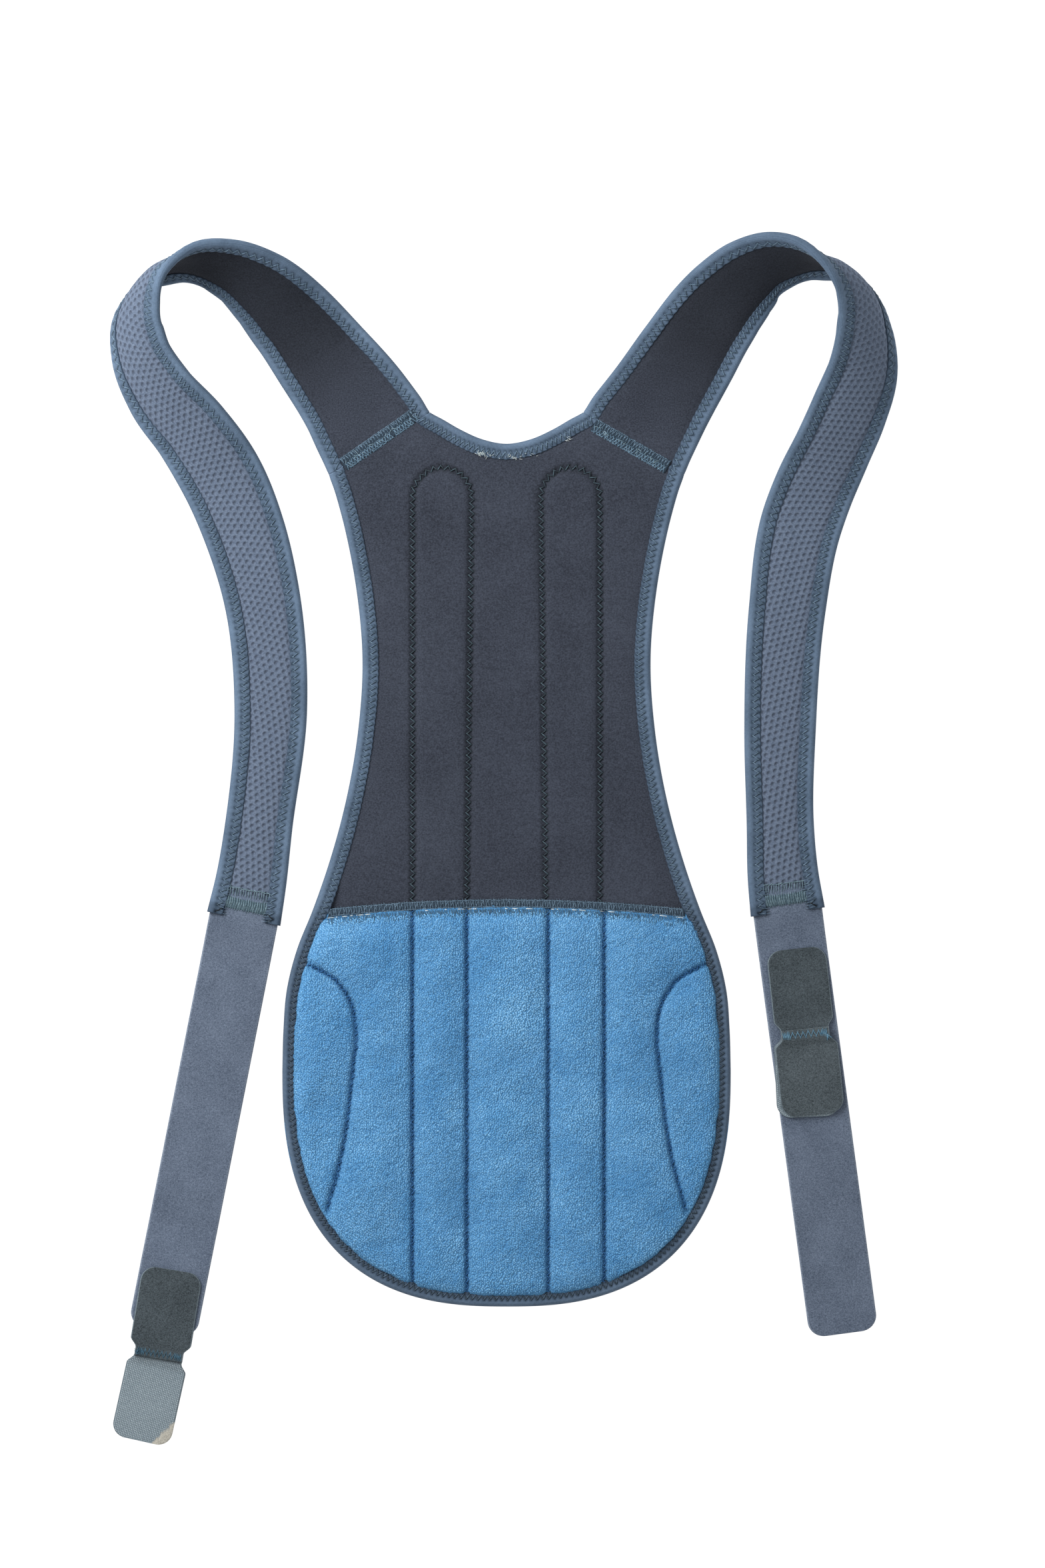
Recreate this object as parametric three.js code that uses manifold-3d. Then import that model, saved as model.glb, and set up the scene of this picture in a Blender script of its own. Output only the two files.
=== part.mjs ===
// Thoracolumbar brace with shoulder straps, lying on its outer face with the body side up.
// Millimetres. Y runs towards the neck, Z up from the surface that it lies on, X to the right.
// Left and right are as seen from above; the wearer's own sides are the other way round.
import * as THREE from "three";
import { mergeVertices } from "three/addons/utils/BufferGeometryUtils.js";
import Module from "manifold-3d";

const wasm = await Module();
wasm.setup();

// Clearance between sewn pieces, and the folded binding that wraps every cut edge
const GAP = 0.3;
const FOAM = 3.0; // foam laminate where a binding grips it
const BINDING_WALL = 0.9;
const BINDING_LIP = 9.0; // how far the binding reaches in from the edge
const BINDING_ROUND = 1.0; // chamfer of its outer bead
const MITRE_ROOM = 6; // it runs straight this far up to a shoulder seam
const SEAM_ROOM = 1; // a panel's contour ends at least this far before a shoulder seam is reached
const EDGE_INSET = BINDING_WALL + GAP;
const FOAM_BOTTOM = BINDING_WALL + GAP;
const FOAM_TOP = FOAM_BOTTOM + FOAM;
const BOUND_HALF = FOAM / 2 + GAP + BINDING_WALL; // half the thickness over a bound edge

// Back panel
const SHOULDER_ARM = { x: 100.5, y: 231 }; // ends of the seam that joins a strap to the panel
const SHOULDER_NECK = { x: 43, y: 267 };
const PANEL_MIDDLE_TOP = 4.4;
const PANEL_MIDDLE_INSET = BINDING_LIP + 0.6;
const PANEL_SEAM_INSET = 6; // the panel thins out before the shoulder seam
const PANEL_STEP = { size: 1.5, height: 1.2 };
const POCKET = { centre: 36.7, width: 33, archY: 218, lowY: -10, top: 5.4, root: 3.0 };
const POCKET_BEVEL = { size: 2.0, height: 1.0 };
const POCKET_ARCH_STEPS = 12;
const WELD = 1e-4; // points this close are one

// Half width of the panel down its side, from the shoulder to its widest place
const SIDE = [
  { y: 231, half: 100.5 },
  { y: 199.5, half: 92 },
  { y: 165, half: 85.5 },
  { y: 125, half: 82.1 },
  { y: 85, half: 84.6 },
  { y: 40, half: 92.7 },
  { y: 5.7, half: 102.4 },
  { y: -17.1, half: 110.4 },
  { y: -39.9, half: 119.5 },
  { y: -62.7, half: 125.2 },
  { y: -85.5, half: 127.1 },
  { y: -108, half: 127.7 },
];
const SIDE_STEPS = 27;
// Below its widest place the panel is half a superellipse
const BOTTOM = { halfWidth: 127.7, centreY: -108, depth: 134.8, power: 2.55, steps: 18 };
// Neck scoop, from its middle to the shoulder
const NECK = [
  { x: 0, y: 248.5 },
  { x: 13, y: 250.8 },
  { x: 26.5, y: 256.7 },
  { x: 43, y: 267 },
];
const NECK_STEPS = 7;

// Lumbar pad, quilted between its seams
const PAD = {
  bottom: PANEL_MIDDLE_TOP + GAP,
  pinch: 1.5, // thickness under the binding
  crown: 8.0, // thickness in the middle of a channel
  seamShare: 0.4, // thickness left at a seam
  topY: -11.4,
  topSag: 5.3, // how far the top edge drops towards the sides
  topSagAt: 100,
  edgeFlat: 3, // the pad lies flat this far past the binding
  edgeReach: 16, // and reaches its full height this much further in
  topReach: 14,
  topShare: 0.15, // share of its height that the pad keeps at the top edge
  seamReach: 12,
  rows: 17,
};
const PAD_SEAMS_X = [23, 54.5];
const PAD_SIDE_SEAM = [
  { x: 114, y: -47 },
  { x: 96, y: -58 },
  { x: 88, y: -71 },
  { x: 85.5, y: -88 },
  { x: 87.5, y: -110 },
  { x: 93, y: -153 },
  { x: 102, y: -188 },
];
const PAD_COLUMNS_X = [
  11.5, 19, 23, 27, 38.7, 50.5, 54.5, 58.5, 65, 72, 79, 85, 91, 97, 102, 107, 111, 114.5, 118, 122, 126.2,
];
const PAD_TOP_BAND = 3; // first row of the pad below its top edge
const PAD_TIP = { low: 0.25, high: 0.75 }; // first and last row where a column is all under the binding
// The binding opens from the panel alone to the panel with the pad on it
const BINDING_OPENS = { fromY: 4, toY: -12 };

// Shoulder straps, a row for each section. x, y: middle of the section from above; roll: 0 body side
// up, 90 standing on the arm edge, 180 mesh side up; cup: how far the mesh side bulges
const SECTION_KEYS = ["x", "y", "width", "roll", "cup"];
const LEFT_STRAP = [
  { x: -71.75, y: 249, width: 67.8, roll: 0, cup: 0 },
  { x: -77.1, y: 257.5, width: 66.5, roll: 0, cup: 0 },
  { x: -85.9, y: 272, width: 63, roll: 0, cup: 0 },
  { x: -104.5, y: 297, width: 57, roll: 0, cup: 0 },
  { x: -122.5, y: 319.2, width: 52, roll: 10, cup: 0 },
  { x: -139, y: 335, width: 50, roll: 30, cup: 0 },
  { x: -157, y: 345.2, width: 48.5, roll: 50, cup: 1 },
  { x: -173, y: 347.8, width: 47.5, roll: 65, cup: 3 },
  { x: -184.5, y: 344.8, width: 45, roll: 79, cup: 6 },
  { x: -192.5, y: 339.5, width: 43, roll: 90, cup: 9 },
  { x: -201.5, y: 330.5, width: 43, roll: 112, cup: 9 },
  { x: -208, y: 317, width: 44, roll: 130, cup: 7 },
  { x: -207, y: 300, width: 45, roll: 138, cup: 5 },
  { x: -196, y: 276.5, width: 46.5, roll: 149, cup: 3 },
  { x: -178, y: 254, width: 47.5, roll: 160, cup: 1 },
  { x: -162, y: 229, width: 48, roll: 174, cup: 0 },
  { x: -149, y: 197.6, width: 46.5, roll: 180, cup: 0 },
  { x: -140, y: 164, width: 43.8, roll: 180, cup: 0 },
  { x: -134.3, y: 97.5, width: 41.5, roll: 180, cup: 0 },
  { x: -141.2, y: 30.4, width: 38.5, roll: 180, cup: 0 },
  { x: -145.6, y: -1, width: 40.5, roll: 180, cup: 0 },
  { x: -149.7, y: -22, width: 42.6, roll: 180, cup: 0 },
];
const RIGHT_STRAP = [
  { x: 71.75, y: 249, width: 67.8, roll: 0, cup: 0 },
  { x: 77.1, y: 257.5, width: 66, roll: 0, cup: 0 },
  { x: 87.8, y: 274.6, width: 61.6, roll: 0, cup: 0 },
  { x: 102.4, y: 297.9, width: 58, roll: 0, cup: 0 },
  { x: 116.5, y: 319.5, width: 54, roll: 4, cup: 0 },
  { x: 126, y: 331, width: 52, roll: 17, cup: 0 },
  { x: 137.3, y: 341.5, width: 50.5, roll: 30, cup: 0 },
  { x: 150, y: 348.2, width: 49.5, roll: 47, cup: 1 },
  { x: 164.5, y: 348.8, width: 47.5, roll: 64, cup: 3 },
  { x: 174, y: 346, width: 45, roll: 79, cup: 6 },
  { x: 181, y: 342, width: 43, roll: 90, cup: 9 },
  { x: 191, y: 335.5, width: 43, roll: 110, cup: 9 },
  { x: 198.5, y: 325, width: 44, roll: 125, cup: 8 },
  { x: 202, y: 311, width: 45, roll: 136, cup: 6 },
  { x: 202, y: 290, width: 46, roll: 150, cup: 4 },
  { x: 194.5, y: 266.5, width: 46.5, roll: 160, cup: 2 },
  { x: 185, y: 244.5, width: 46.5, roll: 163, cup: 1 },
  { x: 174.8, y: 222, width: 46.5, roll: 173, cup: 0 },
  { x: 168, y: 203, width: 46.5, roll: 180, cup: 0 },
  { x: 159.8, y: 153.5, width: 43.7, roll: 180, cup: 0 },
  { x: 155.8, y: 85.5, width: 40.8, roll: 180, cup: 0 },
  { x: 156, y: 30, width: 38.4, roll: 180, cup: 0 },
  { x: 157.5, y: 3, width: 40.5, roll: 180, cup: 0 },
  { x: 160.2, y: -18.2, width: 42.6, roll: 180, cup: 0 },
];
const STRAP_CROWN = 2.1; // half thickness of the padding along the strap's middle
const STRAP_EDGE = 1.3; // half thickness where the binding grips it
const STRAP_EDGE_GAP = 0.7; // clearance in the fold of the binding, for the strap's tight turns
const STRAP_GRIP = 1; // the padding stays thin this far past its binding
const STRAP_EAR = 8; // the bindings run on past the padding
const HEADING_REACH = 0.5; // a strap's direction is taken between points this far to each side
// Spacing of the strap's sections, closest where it turns over
const STRAP_STEPS = [
  { until: 60, step: 20 },
  { until: 130, step: 12 },
  { until: 230, step: 5.5 },
  { until: 330, step: 12 },
  { until: Infinity, step: 24 },
];

// Loop tapes and hook tabs
const TAPE = { width: 39.4, thick: 1.8, corner: 9 };
const LEAF = { thick: 1.2, corner: 8, neck: 27.6, shoulder: 5.5, neckLap: 5 };
const CORNER_ROWS = [0, 0.06, 0.25, 0.6, 1]; // share of a rounded corner's length
const SHOULDER_ROWS = [0, 0.35, 0.7, 1]; // share of the leaf's widening beyond its neck
const LEVEL = LEAF.thick + GAP; // one leaf higher
const TAPE_LEVEL = TAPE.thick + GAP;

const COLOURS = {
  jersey: 0x444955,
  terry: 0x5a8fbd,
  binding: 0x5f7186,
  mesh: 0x66748c,
  velour: 0x6f7a8c,
  felt: 0x485056,
};

// A smooth curve through a table's rows: at(distance) gives every key there
function tableCurve(rows, keys, spanKeys) {
  const knots = [0];
  rows.slice(1).forEach((row, i) => {
    const span = Math.hypot(...spanKeys.map((key) => row[key] - rows[i][key]));
    knots.push(knots[i] + span);
  });
  const secant = (key, i) => (rows[i + 1][key] - rows[i][key]) / (knots[i + 1] - knots[i]);
  const slope = (key, i) => {
    if (i === 0) return secant(key, 0);
    if (i === rows.length - 1) return secant(key, i - 1);
    const before = knots[i] - knots[i - 1];
    const after = knots[i + 1] - knots[i];
    return (secant(key, i - 1) * after + secant(key, i) * before) / (before + after);
  };
  const at = (distance) => {
    let i = 0;
    while (i < rows.length - 2 && distance > knots[i + 1]) i += 1;
    const h = knots[i + 1] - knots[i];
    const t = (distance - knots[i]) / h;
    const value = {};
    for (const key of keys) {
      value[key] =
        rows[i][key] * (1 + 2 * t) * (1 - t) ** 2 +
        slope(key, i) * h * t * (1 - t) ** 2 +
        rows[i + 1][key] * t * t * (3 - 2 * t) +
        slope(key, i + 1) * h * t * t * (t - 1);
    }
    return value;
  };
  return { at, length: knots[knots.length - 1] };
}

const smooth = (t) => {
  const c = THREE.MathUtils.clamp(t, 0, 1);
  return c * c * (3 - 2 * c);
};

const mirrored = (points) => points.map((p) => new THREE.Vector2(-p.x, p.y)).reverse();

// Outer contour of the panel, left shoulder to right shoulder round the bottom
function sidePath() {
  const side = tableCurve(SIDE, ["half"], ["y"]);
  const points = [];
  for (let i = 0; i < SIDE_STEPS; i++) {
    const drop = (side.length * i) / SIDE_STEPS;
    points.push(new THREE.Vector2(side.at(drop).half, SHOULDER_ARM.y - drop));
  }
  for (let i = 0; i <= BOTTOM.steps; i++) {
    const turn = ((Math.PI / 2) * i) / BOTTOM.steps;
    const x = BOTTOM.halfWidth * Math.max(Math.cos(turn), 0) ** (2 / BOTTOM.power);
    const y = BOTTOM.centreY - BOTTOM.depth * Math.sin(turn) ** (2 / BOTTOM.power);
    points.push(new THREE.Vector2(i === BOTTOM.steps ? 0 : x, y));
  }
  return [...points.map((p) => new THREE.Vector2(-p.x, p.y)), ...points.slice(0, -1).reverse()];
}

// Neck scoop from the right shoulder to the left one
function neckPath() {
  const neck = tableCurve(NECK, ["x", "y"], ["x", "y"]);
  const right = [];
  for (let i = 0; i <= NECK_STEPS; i++) {
    const p = neck.at((neck.length * (NECK_STEPS - i)) / NECK_STEPS);
    right.push(new THREE.Vector2(p.x, p.y));
  }
  return [...right, ...mirrored(right).slice(1)];
}

// Unit direction of a path at one of its points
function heading(path, i) {
  const a = path[Math.max(i - 1, 0)];
  const b = path[Math.min(i + 1, path.length - 1)];
  return b.clone().sub(a).normalize();
}

// The path moved to its left, which is into the panel
function movedIn(path, distance) {
  return path.map((p, i) => {
    const along = heading(path, i);
    return new THREE.Vector2(p.x - along.y * distance, p.y + along.x * distance);
  });
}

// A shoulder seam: clear(p) is how far a point lies inside it
function shoulderSeam(side) {
  const along = new THREE.Vector2(SHOULDER_NECK.x - SHOULDER_ARM.x, SHOULDER_NECK.y - SHOULDER_ARM.y);
  const inward = new THREE.Vector2(-along.y * side, along.x).normalize();
  const clear = (p) => (p.x - SHOULDER_ARM.x * side) * inward.x + (p.y - SHOULDER_ARM.y) * inward.y;
  return { inward, clear };
}

// Cuts the end of a path back until it is well inside a shoulder seam
function cutBack(path, side, room) {
  const { clear } = shoulderSeam(side);
  const kept = [...path];
  while (clear(kept[kept.length - 1]) < room) kept.pop();
  return kept;
}

// Moves a point along a direction until it lies inside a shoulder seam by inset
function broughtTo(side, inset, p, along) {
  const { inward, clear } = shoulderSeam(side);
  const way = (inset - clear(p)) / along.dot(inward);
  const moved = p.clone();
  moved.x += along.x * way;
  moved.y += along.y * way;
  return moved;
}

// A path from the seam on one side to the seam on the other, where it ends
function betweenSeams(path, lastSide, inset) {
  const room = inset + SEAM_ROOM;
  const kept = cutBack(cutBack(path, lastSide, room).reverse(), -lastSide, room).reverse();
  const first = broughtTo(-lastSide, inset, kept[0], heading(kept, 0));
  const last = broughtTo(lastSide, inset, kept[kept.length - 1], heading(kept, kept.length - 1));
  return [first, ...kept, last];
}

function panelOutline(inset, seamInset) {
  const side = betweenSeams(movedIn(sidePath(), inset), 1, seamInset);
  const neck = betweenSeams(movedIn(neckPath(), inset), -1, seamInset);
  return [...side, ...neck];
}

// A flat slab with chamfered edges
function slab(outline, bottom, top, bevel) {
  const geometry = new THREE.ExtrudeGeometry(new THREE.Shape(outline), {
    depth: top - bottom - 2 * (bevel ? bevel.height : 0),
    bevelEnabled: Boolean(bevel),
    bevelThickness: bevel ? bevel.height : 0,
    bevelSize: bevel ? bevel.size : 0,
    bevelOffset: bevel ? -bevel.size : 0,
    bevelSegments: 1,
  });
  return geometry.translate(0, 0, bottom + (bevel ? bevel.height : 0));
}

// Joins overlapping closed shapes into one
function joined(...geometries) {
  const solids = geometries.map((geometry) => {
    const bare = geometry.index ? geometry.toNonIndexed() : geometry.clone();
    bare.deleteAttribute("normal");
    bare.deleteAttribute("uv");
    const merged = mergeVertices(bare, WELD);
    return new wasm.Manifold(
      new wasm.Mesh({
        numProp: 3,
        vertProperties: merged.attributes.position.array,
        triVerts: new Uint32Array(merged.index.array),
      }),
    );
  });
  const mesh = solids.reduce((whole, solid) => whole.add(solid)).getMesh();
  const geometry = new THREE.BufferGeometry();
  geometry.setAttribute("position", new THREE.BufferAttribute(mesh.vertProperties, 3));
  geometry.setIndex(new THREE.BufferAttribute(mesh.triVerts, 1));
  return geometry;
}

// A closed surface from points and triangles, with its faces turned outwards
function closedGeometry(points, triangles) {
  let volume = 0;
  for (const [a, b, c] of triangles) {
    volume += points[a].dot(points[b].clone().cross(points[c]));
  }
  const facing = volume < 0 ? triangles.map(([a, b, c]) => [a, c, b]) : triangles;
  const geometry = new THREE.BufferGeometry().setFromPoints(points);
  geometry.setIndex(facing.flat());
  geometry.computeVertexNormals();
  return geometry;
}

// Skins a row of equal rings and closes both ends with the flat outline of a ring. The diagonals
// follow the outline's x, so that neighbouring skins with the same twist stay parallel
function loft(rings, outline) {
  const size = rings[0].length;
  const triangles = [];
  for (let r = 0; r < rings.length - 1; r++) {
    for (let i = 0; i < size; i++) {
      const next = (i + 1) % size;
      const a = r * size + i;
      const b = r * size + next;
      if (outline[next].x >= outline[i].x) {
        triangles.push([a, b, a + size], [b, b + size, a + size]);
      } else {
        triangles.push([a, b, b + size], [a, b + size, a + size]);
      }
    }
  }
  const last = (rings.length - 1) * size;
  const turns = THREE.ShapeUtils.area(outline) > 0 ? 1 : -1;
  for (const [a, b, c] of THREE.ShapeUtils.triangulateShape(outline, [])) {
    const [p, q] = turns > 0 ? [b, c] : [c, b];
    triangles.push([a, q, p], [last + a, last + p, last + q]);
  }
  return closedGeometry(rings.flat(), triangles);
}

// Section of a folded binding: x is the way in from the edge, y the thickness
function bindingSection(slotBottom, slotTop) {
  const low = slotBottom - BINDING_WALL;
  const high = slotTop + BINDING_WALL;
  return [
    new THREE.Vector2(BINDING_LIP, low),
    new THREE.Vector2(BINDING_ROUND, low),
    new THREE.Vector2(0, low + BINDING_ROUND),
    new THREE.Vector2(0, high - BINDING_ROUND),
    new THREE.Vector2(BINDING_ROUND, high),
    new THREE.Vector2(BINDING_LIP, high),
    new THREE.Vector2(BINDING_LIP, slotTop),
    new THREE.Vector2(BINDING_WALL, slotTop),
    new THREE.Vector2(BINDING_WALL, slotBottom),
    new THREE.Vector2(BINDING_LIP, slotBottom),
  ];
}

// Binding round an edge of the panel, mitred to the shoulder seams at both ends
function edgeBinding(path, lastSide, slotTopAt) {
  const kept = cutBack(cutBack(path, lastSide, MITRE_ROOM).reverse(), -lastSide, MITRE_ROOM).reverse();
  const rings = kept.map((p, i) => {
    const along = heading(kept, i);
    return bindingSection(BINDING_WALL, slotTopAt(p)).map(
      (q) => new THREE.Vector3(p.x - along.y * q.x, p.y + along.x * q.x, q.y),
    );
  });
  const mitre = (i, side) => rings[i].map((p) => broughtTo(side, GAP / 2, p, heading(kept, i)));
  const whole = [mitre(0, -lastSide), ...rings, mitre(rings.length - 1, lastSide)];
  return loft(whole, bindingSection(BINDING_WALL, slotTopAt(kept[0])));
}

function panelBinding() {
  const slotTopAt = (p) => {
    const opens = (BINDING_OPENS.fromY - p.y) / (BINDING_OPENS.fromY - BINDING_OPENS.toY);
    const withPad = PAD.bottom + PAD.pinch + GAP;
    return THREE.MathUtils.lerp(FOAM_TOP + GAP, withPad, smooth(opens));
  };
  return edgeBinding(sidePath(), 1, slotTopAt);
}

const neckBinding = () => edgeBinding(neckPath(), -1, () => FOAM_TOP + GAP);

function pocket(side) {
  const { centre, width, archY, lowY, top, root } = POCKET;
  const radius = width / 2;
  const outline = [];
  for (let i = 0; i <= POCKET_ARCH_STEPS; i++) {
    const turn = (Math.PI * i) / POCKET_ARCH_STEPS;
    const x = side * centre + radius * Math.cos(turn);
    outline.push(new THREE.Vector2(x, archY + radius * Math.sin(turn)));
  }
  outline.push(new THREE.Vector2(side * centre - radius, lowY));
  outline.push(new THREE.Vector2(side * centre + radius, lowY));
  return slab(outline, root, top, POCKET_BEVEL);
}

function backPanel() {
  const edge = slab(panelOutline(EDGE_INSET, GAP / 2), FOAM_BOTTOM, FOAM_TOP);
  const middle = panelOutline(PANEL_MIDDLE_INSET, PANEL_SEAM_INSET);
  const thick = slab(middle, 0, PANEL_MIDDLE_TOP, PANEL_STEP);
  return joined(edge, thick, pocket(-1), pocket(1));
}

// Distance from a point to the nearest place of a path
function distanceTo(path, x, y) {
  const p = new THREE.Vector3(x, y, 0);
  const near = new THREE.Vector3();
  let least = Infinity;
  for (let i = 0; i < path.length - 1; i++) {
    const line = new THREE.Line3(
      new THREE.Vector3(path[i].x, path[i].y, 0),
      new THREE.Vector3(path[i + 1].x, path[i + 1].y, 0),
    );
    least = Math.min(least, line.closestPointToPoint(p, true, near).distanceTo(p));
  }
  return least;
}

// Lowest and highest place where the line x crosses a path, capped by the pad's top edge
function padSpan(path, x, capDrop) {
  const ys = [];
  for (let i = 0; i < path.length - 1; i++) {
    const [a, b] = [path[i], path[i + 1]];
    if (a.x <= x !== b.x <= x) {
      ys.push(a.y + ((b.y - a.y) * (x - a.x)) / (b.x - a.x));
    }
  }
  if (!ys.length) return null;
  const cap = PAD.topY - PAD.topSag * (x / PAD.topSagAt) ** 2 - capDrop;
  return { low: Math.min(...ys), high: ys.length > 1 ? Math.min(Math.max(...ys), cap) : cap };
}

// The rise of a stuffed channel with distance from its seam
const puffed = (distance, reach) =>
  Math.sqrt(1 - (1 - THREE.MathUtils.clamp(distance / reach, 0, 1)) ** 2);

function lumbarPad() {
  const contour = sidePath();
  const edge = movedIn(contour, EDGE_INSET);
  const gripped = movedIn(contour, BINDING_LIP + GAP);
  const thickness = (x, y, topDrop) => {
    const toEdge = distanceTo(contour, x, y) - BINDING_LIP - PAD.edgeFlat;
    const straight = PAD_SEAMS_X.map((seam) => Math.abs(Math.abs(x) - seam));
    const toSeam = Math.min(...straight, distanceTo(PAD_SIDE_SEAM, Math.abs(x), y));
    const seam = THREE.MathUtils.lerp(PAD.seamShare, 1, puffed(toSeam, PAD.seamReach));
    const crown = (PAD.crown - PAD.pinch) * seam * puffed(toEdge, PAD.edgeReach);
    const top = THREE.MathUtils.lerp(PAD.topShare, 1, puffed(topDrop - PAD_TOP_BAND, PAD.topReach));
    return PAD.pinch + crown * top;
  };
  const columnsX = [...PAD_COLUMNS_X.map((x) => -x).reverse(), 0, ...PAD_COLUMNS_X];
  const columns = columnsX.map((x) => {
    const outer = padSpan(edge, x, 0);
    const inner = padSpan(gripped, x, PAD_TOP_BAND) ?? {
      low: THREE.MathUtils.lerp(outer.low, outer.high, PAD_TIP.low),
      high: THREE.MathUtils.lerp(outer.low, outer.high, PAD_TIP.high),
    };
    const ys = [outer.low];
    for (let r = 0; r < PAD.rows; r++) {
      ys.push(THREE.MathUtils.lerp(inner.low, inner.high, r / (PAD.rows - 1)));
    }
    ys.push(outer.high);
    return ys.map((y) => new THREE.Vector3(x, y, PAD.bottom + thickness(x, y, outer.high - y)));
  });
  return quilt(columns, PAD.bottom);
}

// A closed form with a grid of points on top, upright sides and a flat underside
function quilt(columns, floor) {
  const wide = columns.length;
  const tall = columns[0].length;
  const points = columns.flat();
  const triangles = [];
  const at = (i, j) => i * tall + j;
  for (let i = 0; i < wide - 1; i++) {
    for (let j = 0; j < tall - 1; j++) {
      triangles.push([at(i, j), at(i + 1, j), at(i + 1, j + 1)]);
      triangles.push([at(i, j), at(i + 1, j + 1), at(i, j + 1)]);
    }
  }
  const rim = [];
  for (let i = 0; i < wide - 1; i++) rim.push(at(i, 0));
  for (let j = 0; j < tall - 1; j++) rim.push(at(wide - 1, j));
  for (let i = wide - 1; i > 0; i--) rim.push(at(i, tall - 1));
  for (let j = tall - 1; j > 0; j--) rim.push(at(0, j));
  const first = points.length;
  rim.forEach((k) => points.push(new THREE.Vector3(points[k].x, points[k].y, floor)));
  rim.forEach((k, n) => {
    const next = (n + 1) % rim.length;
    triangles.push([k, first + n, rim[next]], [first + n, first + next, rim[next]]);
  });
  const outline = rim.map((k) => new THREE.Vector2(points[k].x, points[k].y));
  for (const [a, b, c] of THREE.ShapeUtils.triangulateShape(outline, [])) {
    triangles.push([first + a, first + c, first + b]);
  }
  return closedGeometry(points, triangles);
}

// A shoulder strap as a bent and rolled ribbon. point(distance, across, height): across runs from
// the arm edge (negative) to the neck edge, height from the middle of the padding to the body side
function strapRibbon(rows, side) {
  const curve = tableCurve(rows, SECTION_KEYS, ["x", "y"]);
  const inSection = (section, across, height) => {
    const lean = (8 * section.cup * across) / section.width ** 2;
    const unit = Math.hypot(1, lean);
    const sunk = section.cup * (1 - (2 * across) ** 2 / section.width ** 2);
    const q = new THREE.Vector2(across - (height * lean) / unit, height / unit - sunk);
    const roll = THREE.MathUtils.clamp(section.roll, 0, 180);
    return q.rotateAround(new THREE.Vector2(), THREE.MathUtils.degToRad(roll));
  };
  const point = (distance, across, height) => {
    const section = curve.at(distance);
    const before = curve.at(distance - HEADING_REACH);
    const after = curve.at(distance + HEADING_REACH);
    const way = new THREE.Vector2(after.x - before.x, after.y - before.y).normalize();
    const edge = -section.width / 2;
    const lift = -Math.min(
      inSection(section, edge, -BOUND_HALF).y,
      inSection(section, edge, BOUND_HALF).y,
    );
    const q = inSection(section, across, height);
    return new THREE.Vector3(
      section.x - side * way.y * q.x,
      section.y + side * way.x * q.x,
      lift + q.y,
    );
  };
  const halfWidth = (distance) => curve.at(distance).width / 2;
  return { point, halfWidth, length: curve.length };
}

// Distances of a strap's sections up to the end of its padding
function stationsAlong(ribbon) {
  const end = ribbon.length - STRAP_EAR;
  const stations = [];
  let distance = GAP / 2;
  while (distance < end - STRAP_EAR) {
    const here = distance;
    stations.push(here);
    distance += STRAP_STEPS.find(({ until }) => here < until).step;
  }
  return [...stations, end];
}

function strapPadding(ribbon) {
  const thin = STRAP_EDGE;
  const sections = stationsAlong(ribbon).map((distance) => {
    const half = ribbon.halfWidth(distance);
    const grip = half - BINDING_LIP - STRAP_GRIP;
    const outer = half - BINDING_WALL - STRAP_EDGE_GAP;
    return [
      [-outer, -thin], [-grip, -thin], [0, -STRAP_CROWN], [grip, -thin], [outer, -thin],
      [outer, thin], [grip, thin], [0, STRAP_CROWN], [-grip, thin], [-outer, thin],
    ].map(([across, height]) => ({ distance, across, height }));
  });
  const rings = sections.map((section) =>
    section.map((p) => ribbon.point(p.distance, p.across, p.height)),
  );
  return loft(rings, sections[0].map((p) => new THREE.Vector2(p.across, p.height)));
}

function strapBinding(ribbon, edge) {
  const section = bindingSection(-FOAM / 2 - GAP, FOAM / 2 + GAP);
  const rings = [...stationsAlong(ribbon), ribbon.length].map((distance) => {
    const half = ribbon.halfWidth(distance);
    return section.map((q) => ribbon.point(distance, edge * (half - q.x), q.y));
  });
  return loft(rings, section.map((q) => new THREE.Vector2(-edge * q.x, q.y)));
}

// A flat strip along a straight line: rows give its half width and the height of its underside
function strip(start, towards, rows, thick) {
  const way = new THREE.Vector2(towards.x - start.x, towards.y - start.y).normalize();
  const rings = rows.map(({ along, half, z }) => {
    const at = (across, height) =>
      new THREE.Vector3(
        start.x + way.x * along - way.y * across,
        start.y + way.y * along + way.x * across,
        height,
      );
    return [at(-half, z), at(half, z), at(half, z + thick), at(-half, z + thick)];
  });
  const outline = [
    new THREE.Vector2(-1, 0),
    new THREE.Vector2(1, 0),
    new THREE.Vector2(1, 1),
    new THREE.Vector2(-1, 1),
  ];
  return loft(rings, outline);
}

// Half width near a rounded end, at a distance from it
const roundedHalf = (width, corner, fromEnd) => {
  const short = Math.max(corner - fromEnd, 0);
  return width / 2 - corner + Math.sqrt(corner ** 2 - short ** 2);
};

// Loop tape from the strap's end: rises gives the height of its underside along it
function loopTape(start, end, rises) {
  const length = Math.hypot(end.x - start.x, end.y - start.y);
  const rows = rises.map(({ along, z }) => ({ along, half: TAPE.width / 2, z }));
  for (const share of [...CORNER_ROWS].reverse()) {
    const half = roundedHalf(TAPE.width, TAPE.corner, TAPE.corner * share);
    rows.push({ along: length - TAPE.corner * share, half, z: rises[rises.length - 1].z });
  }
  return strip(start, end, rows, TAPE.thick);
}

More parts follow.
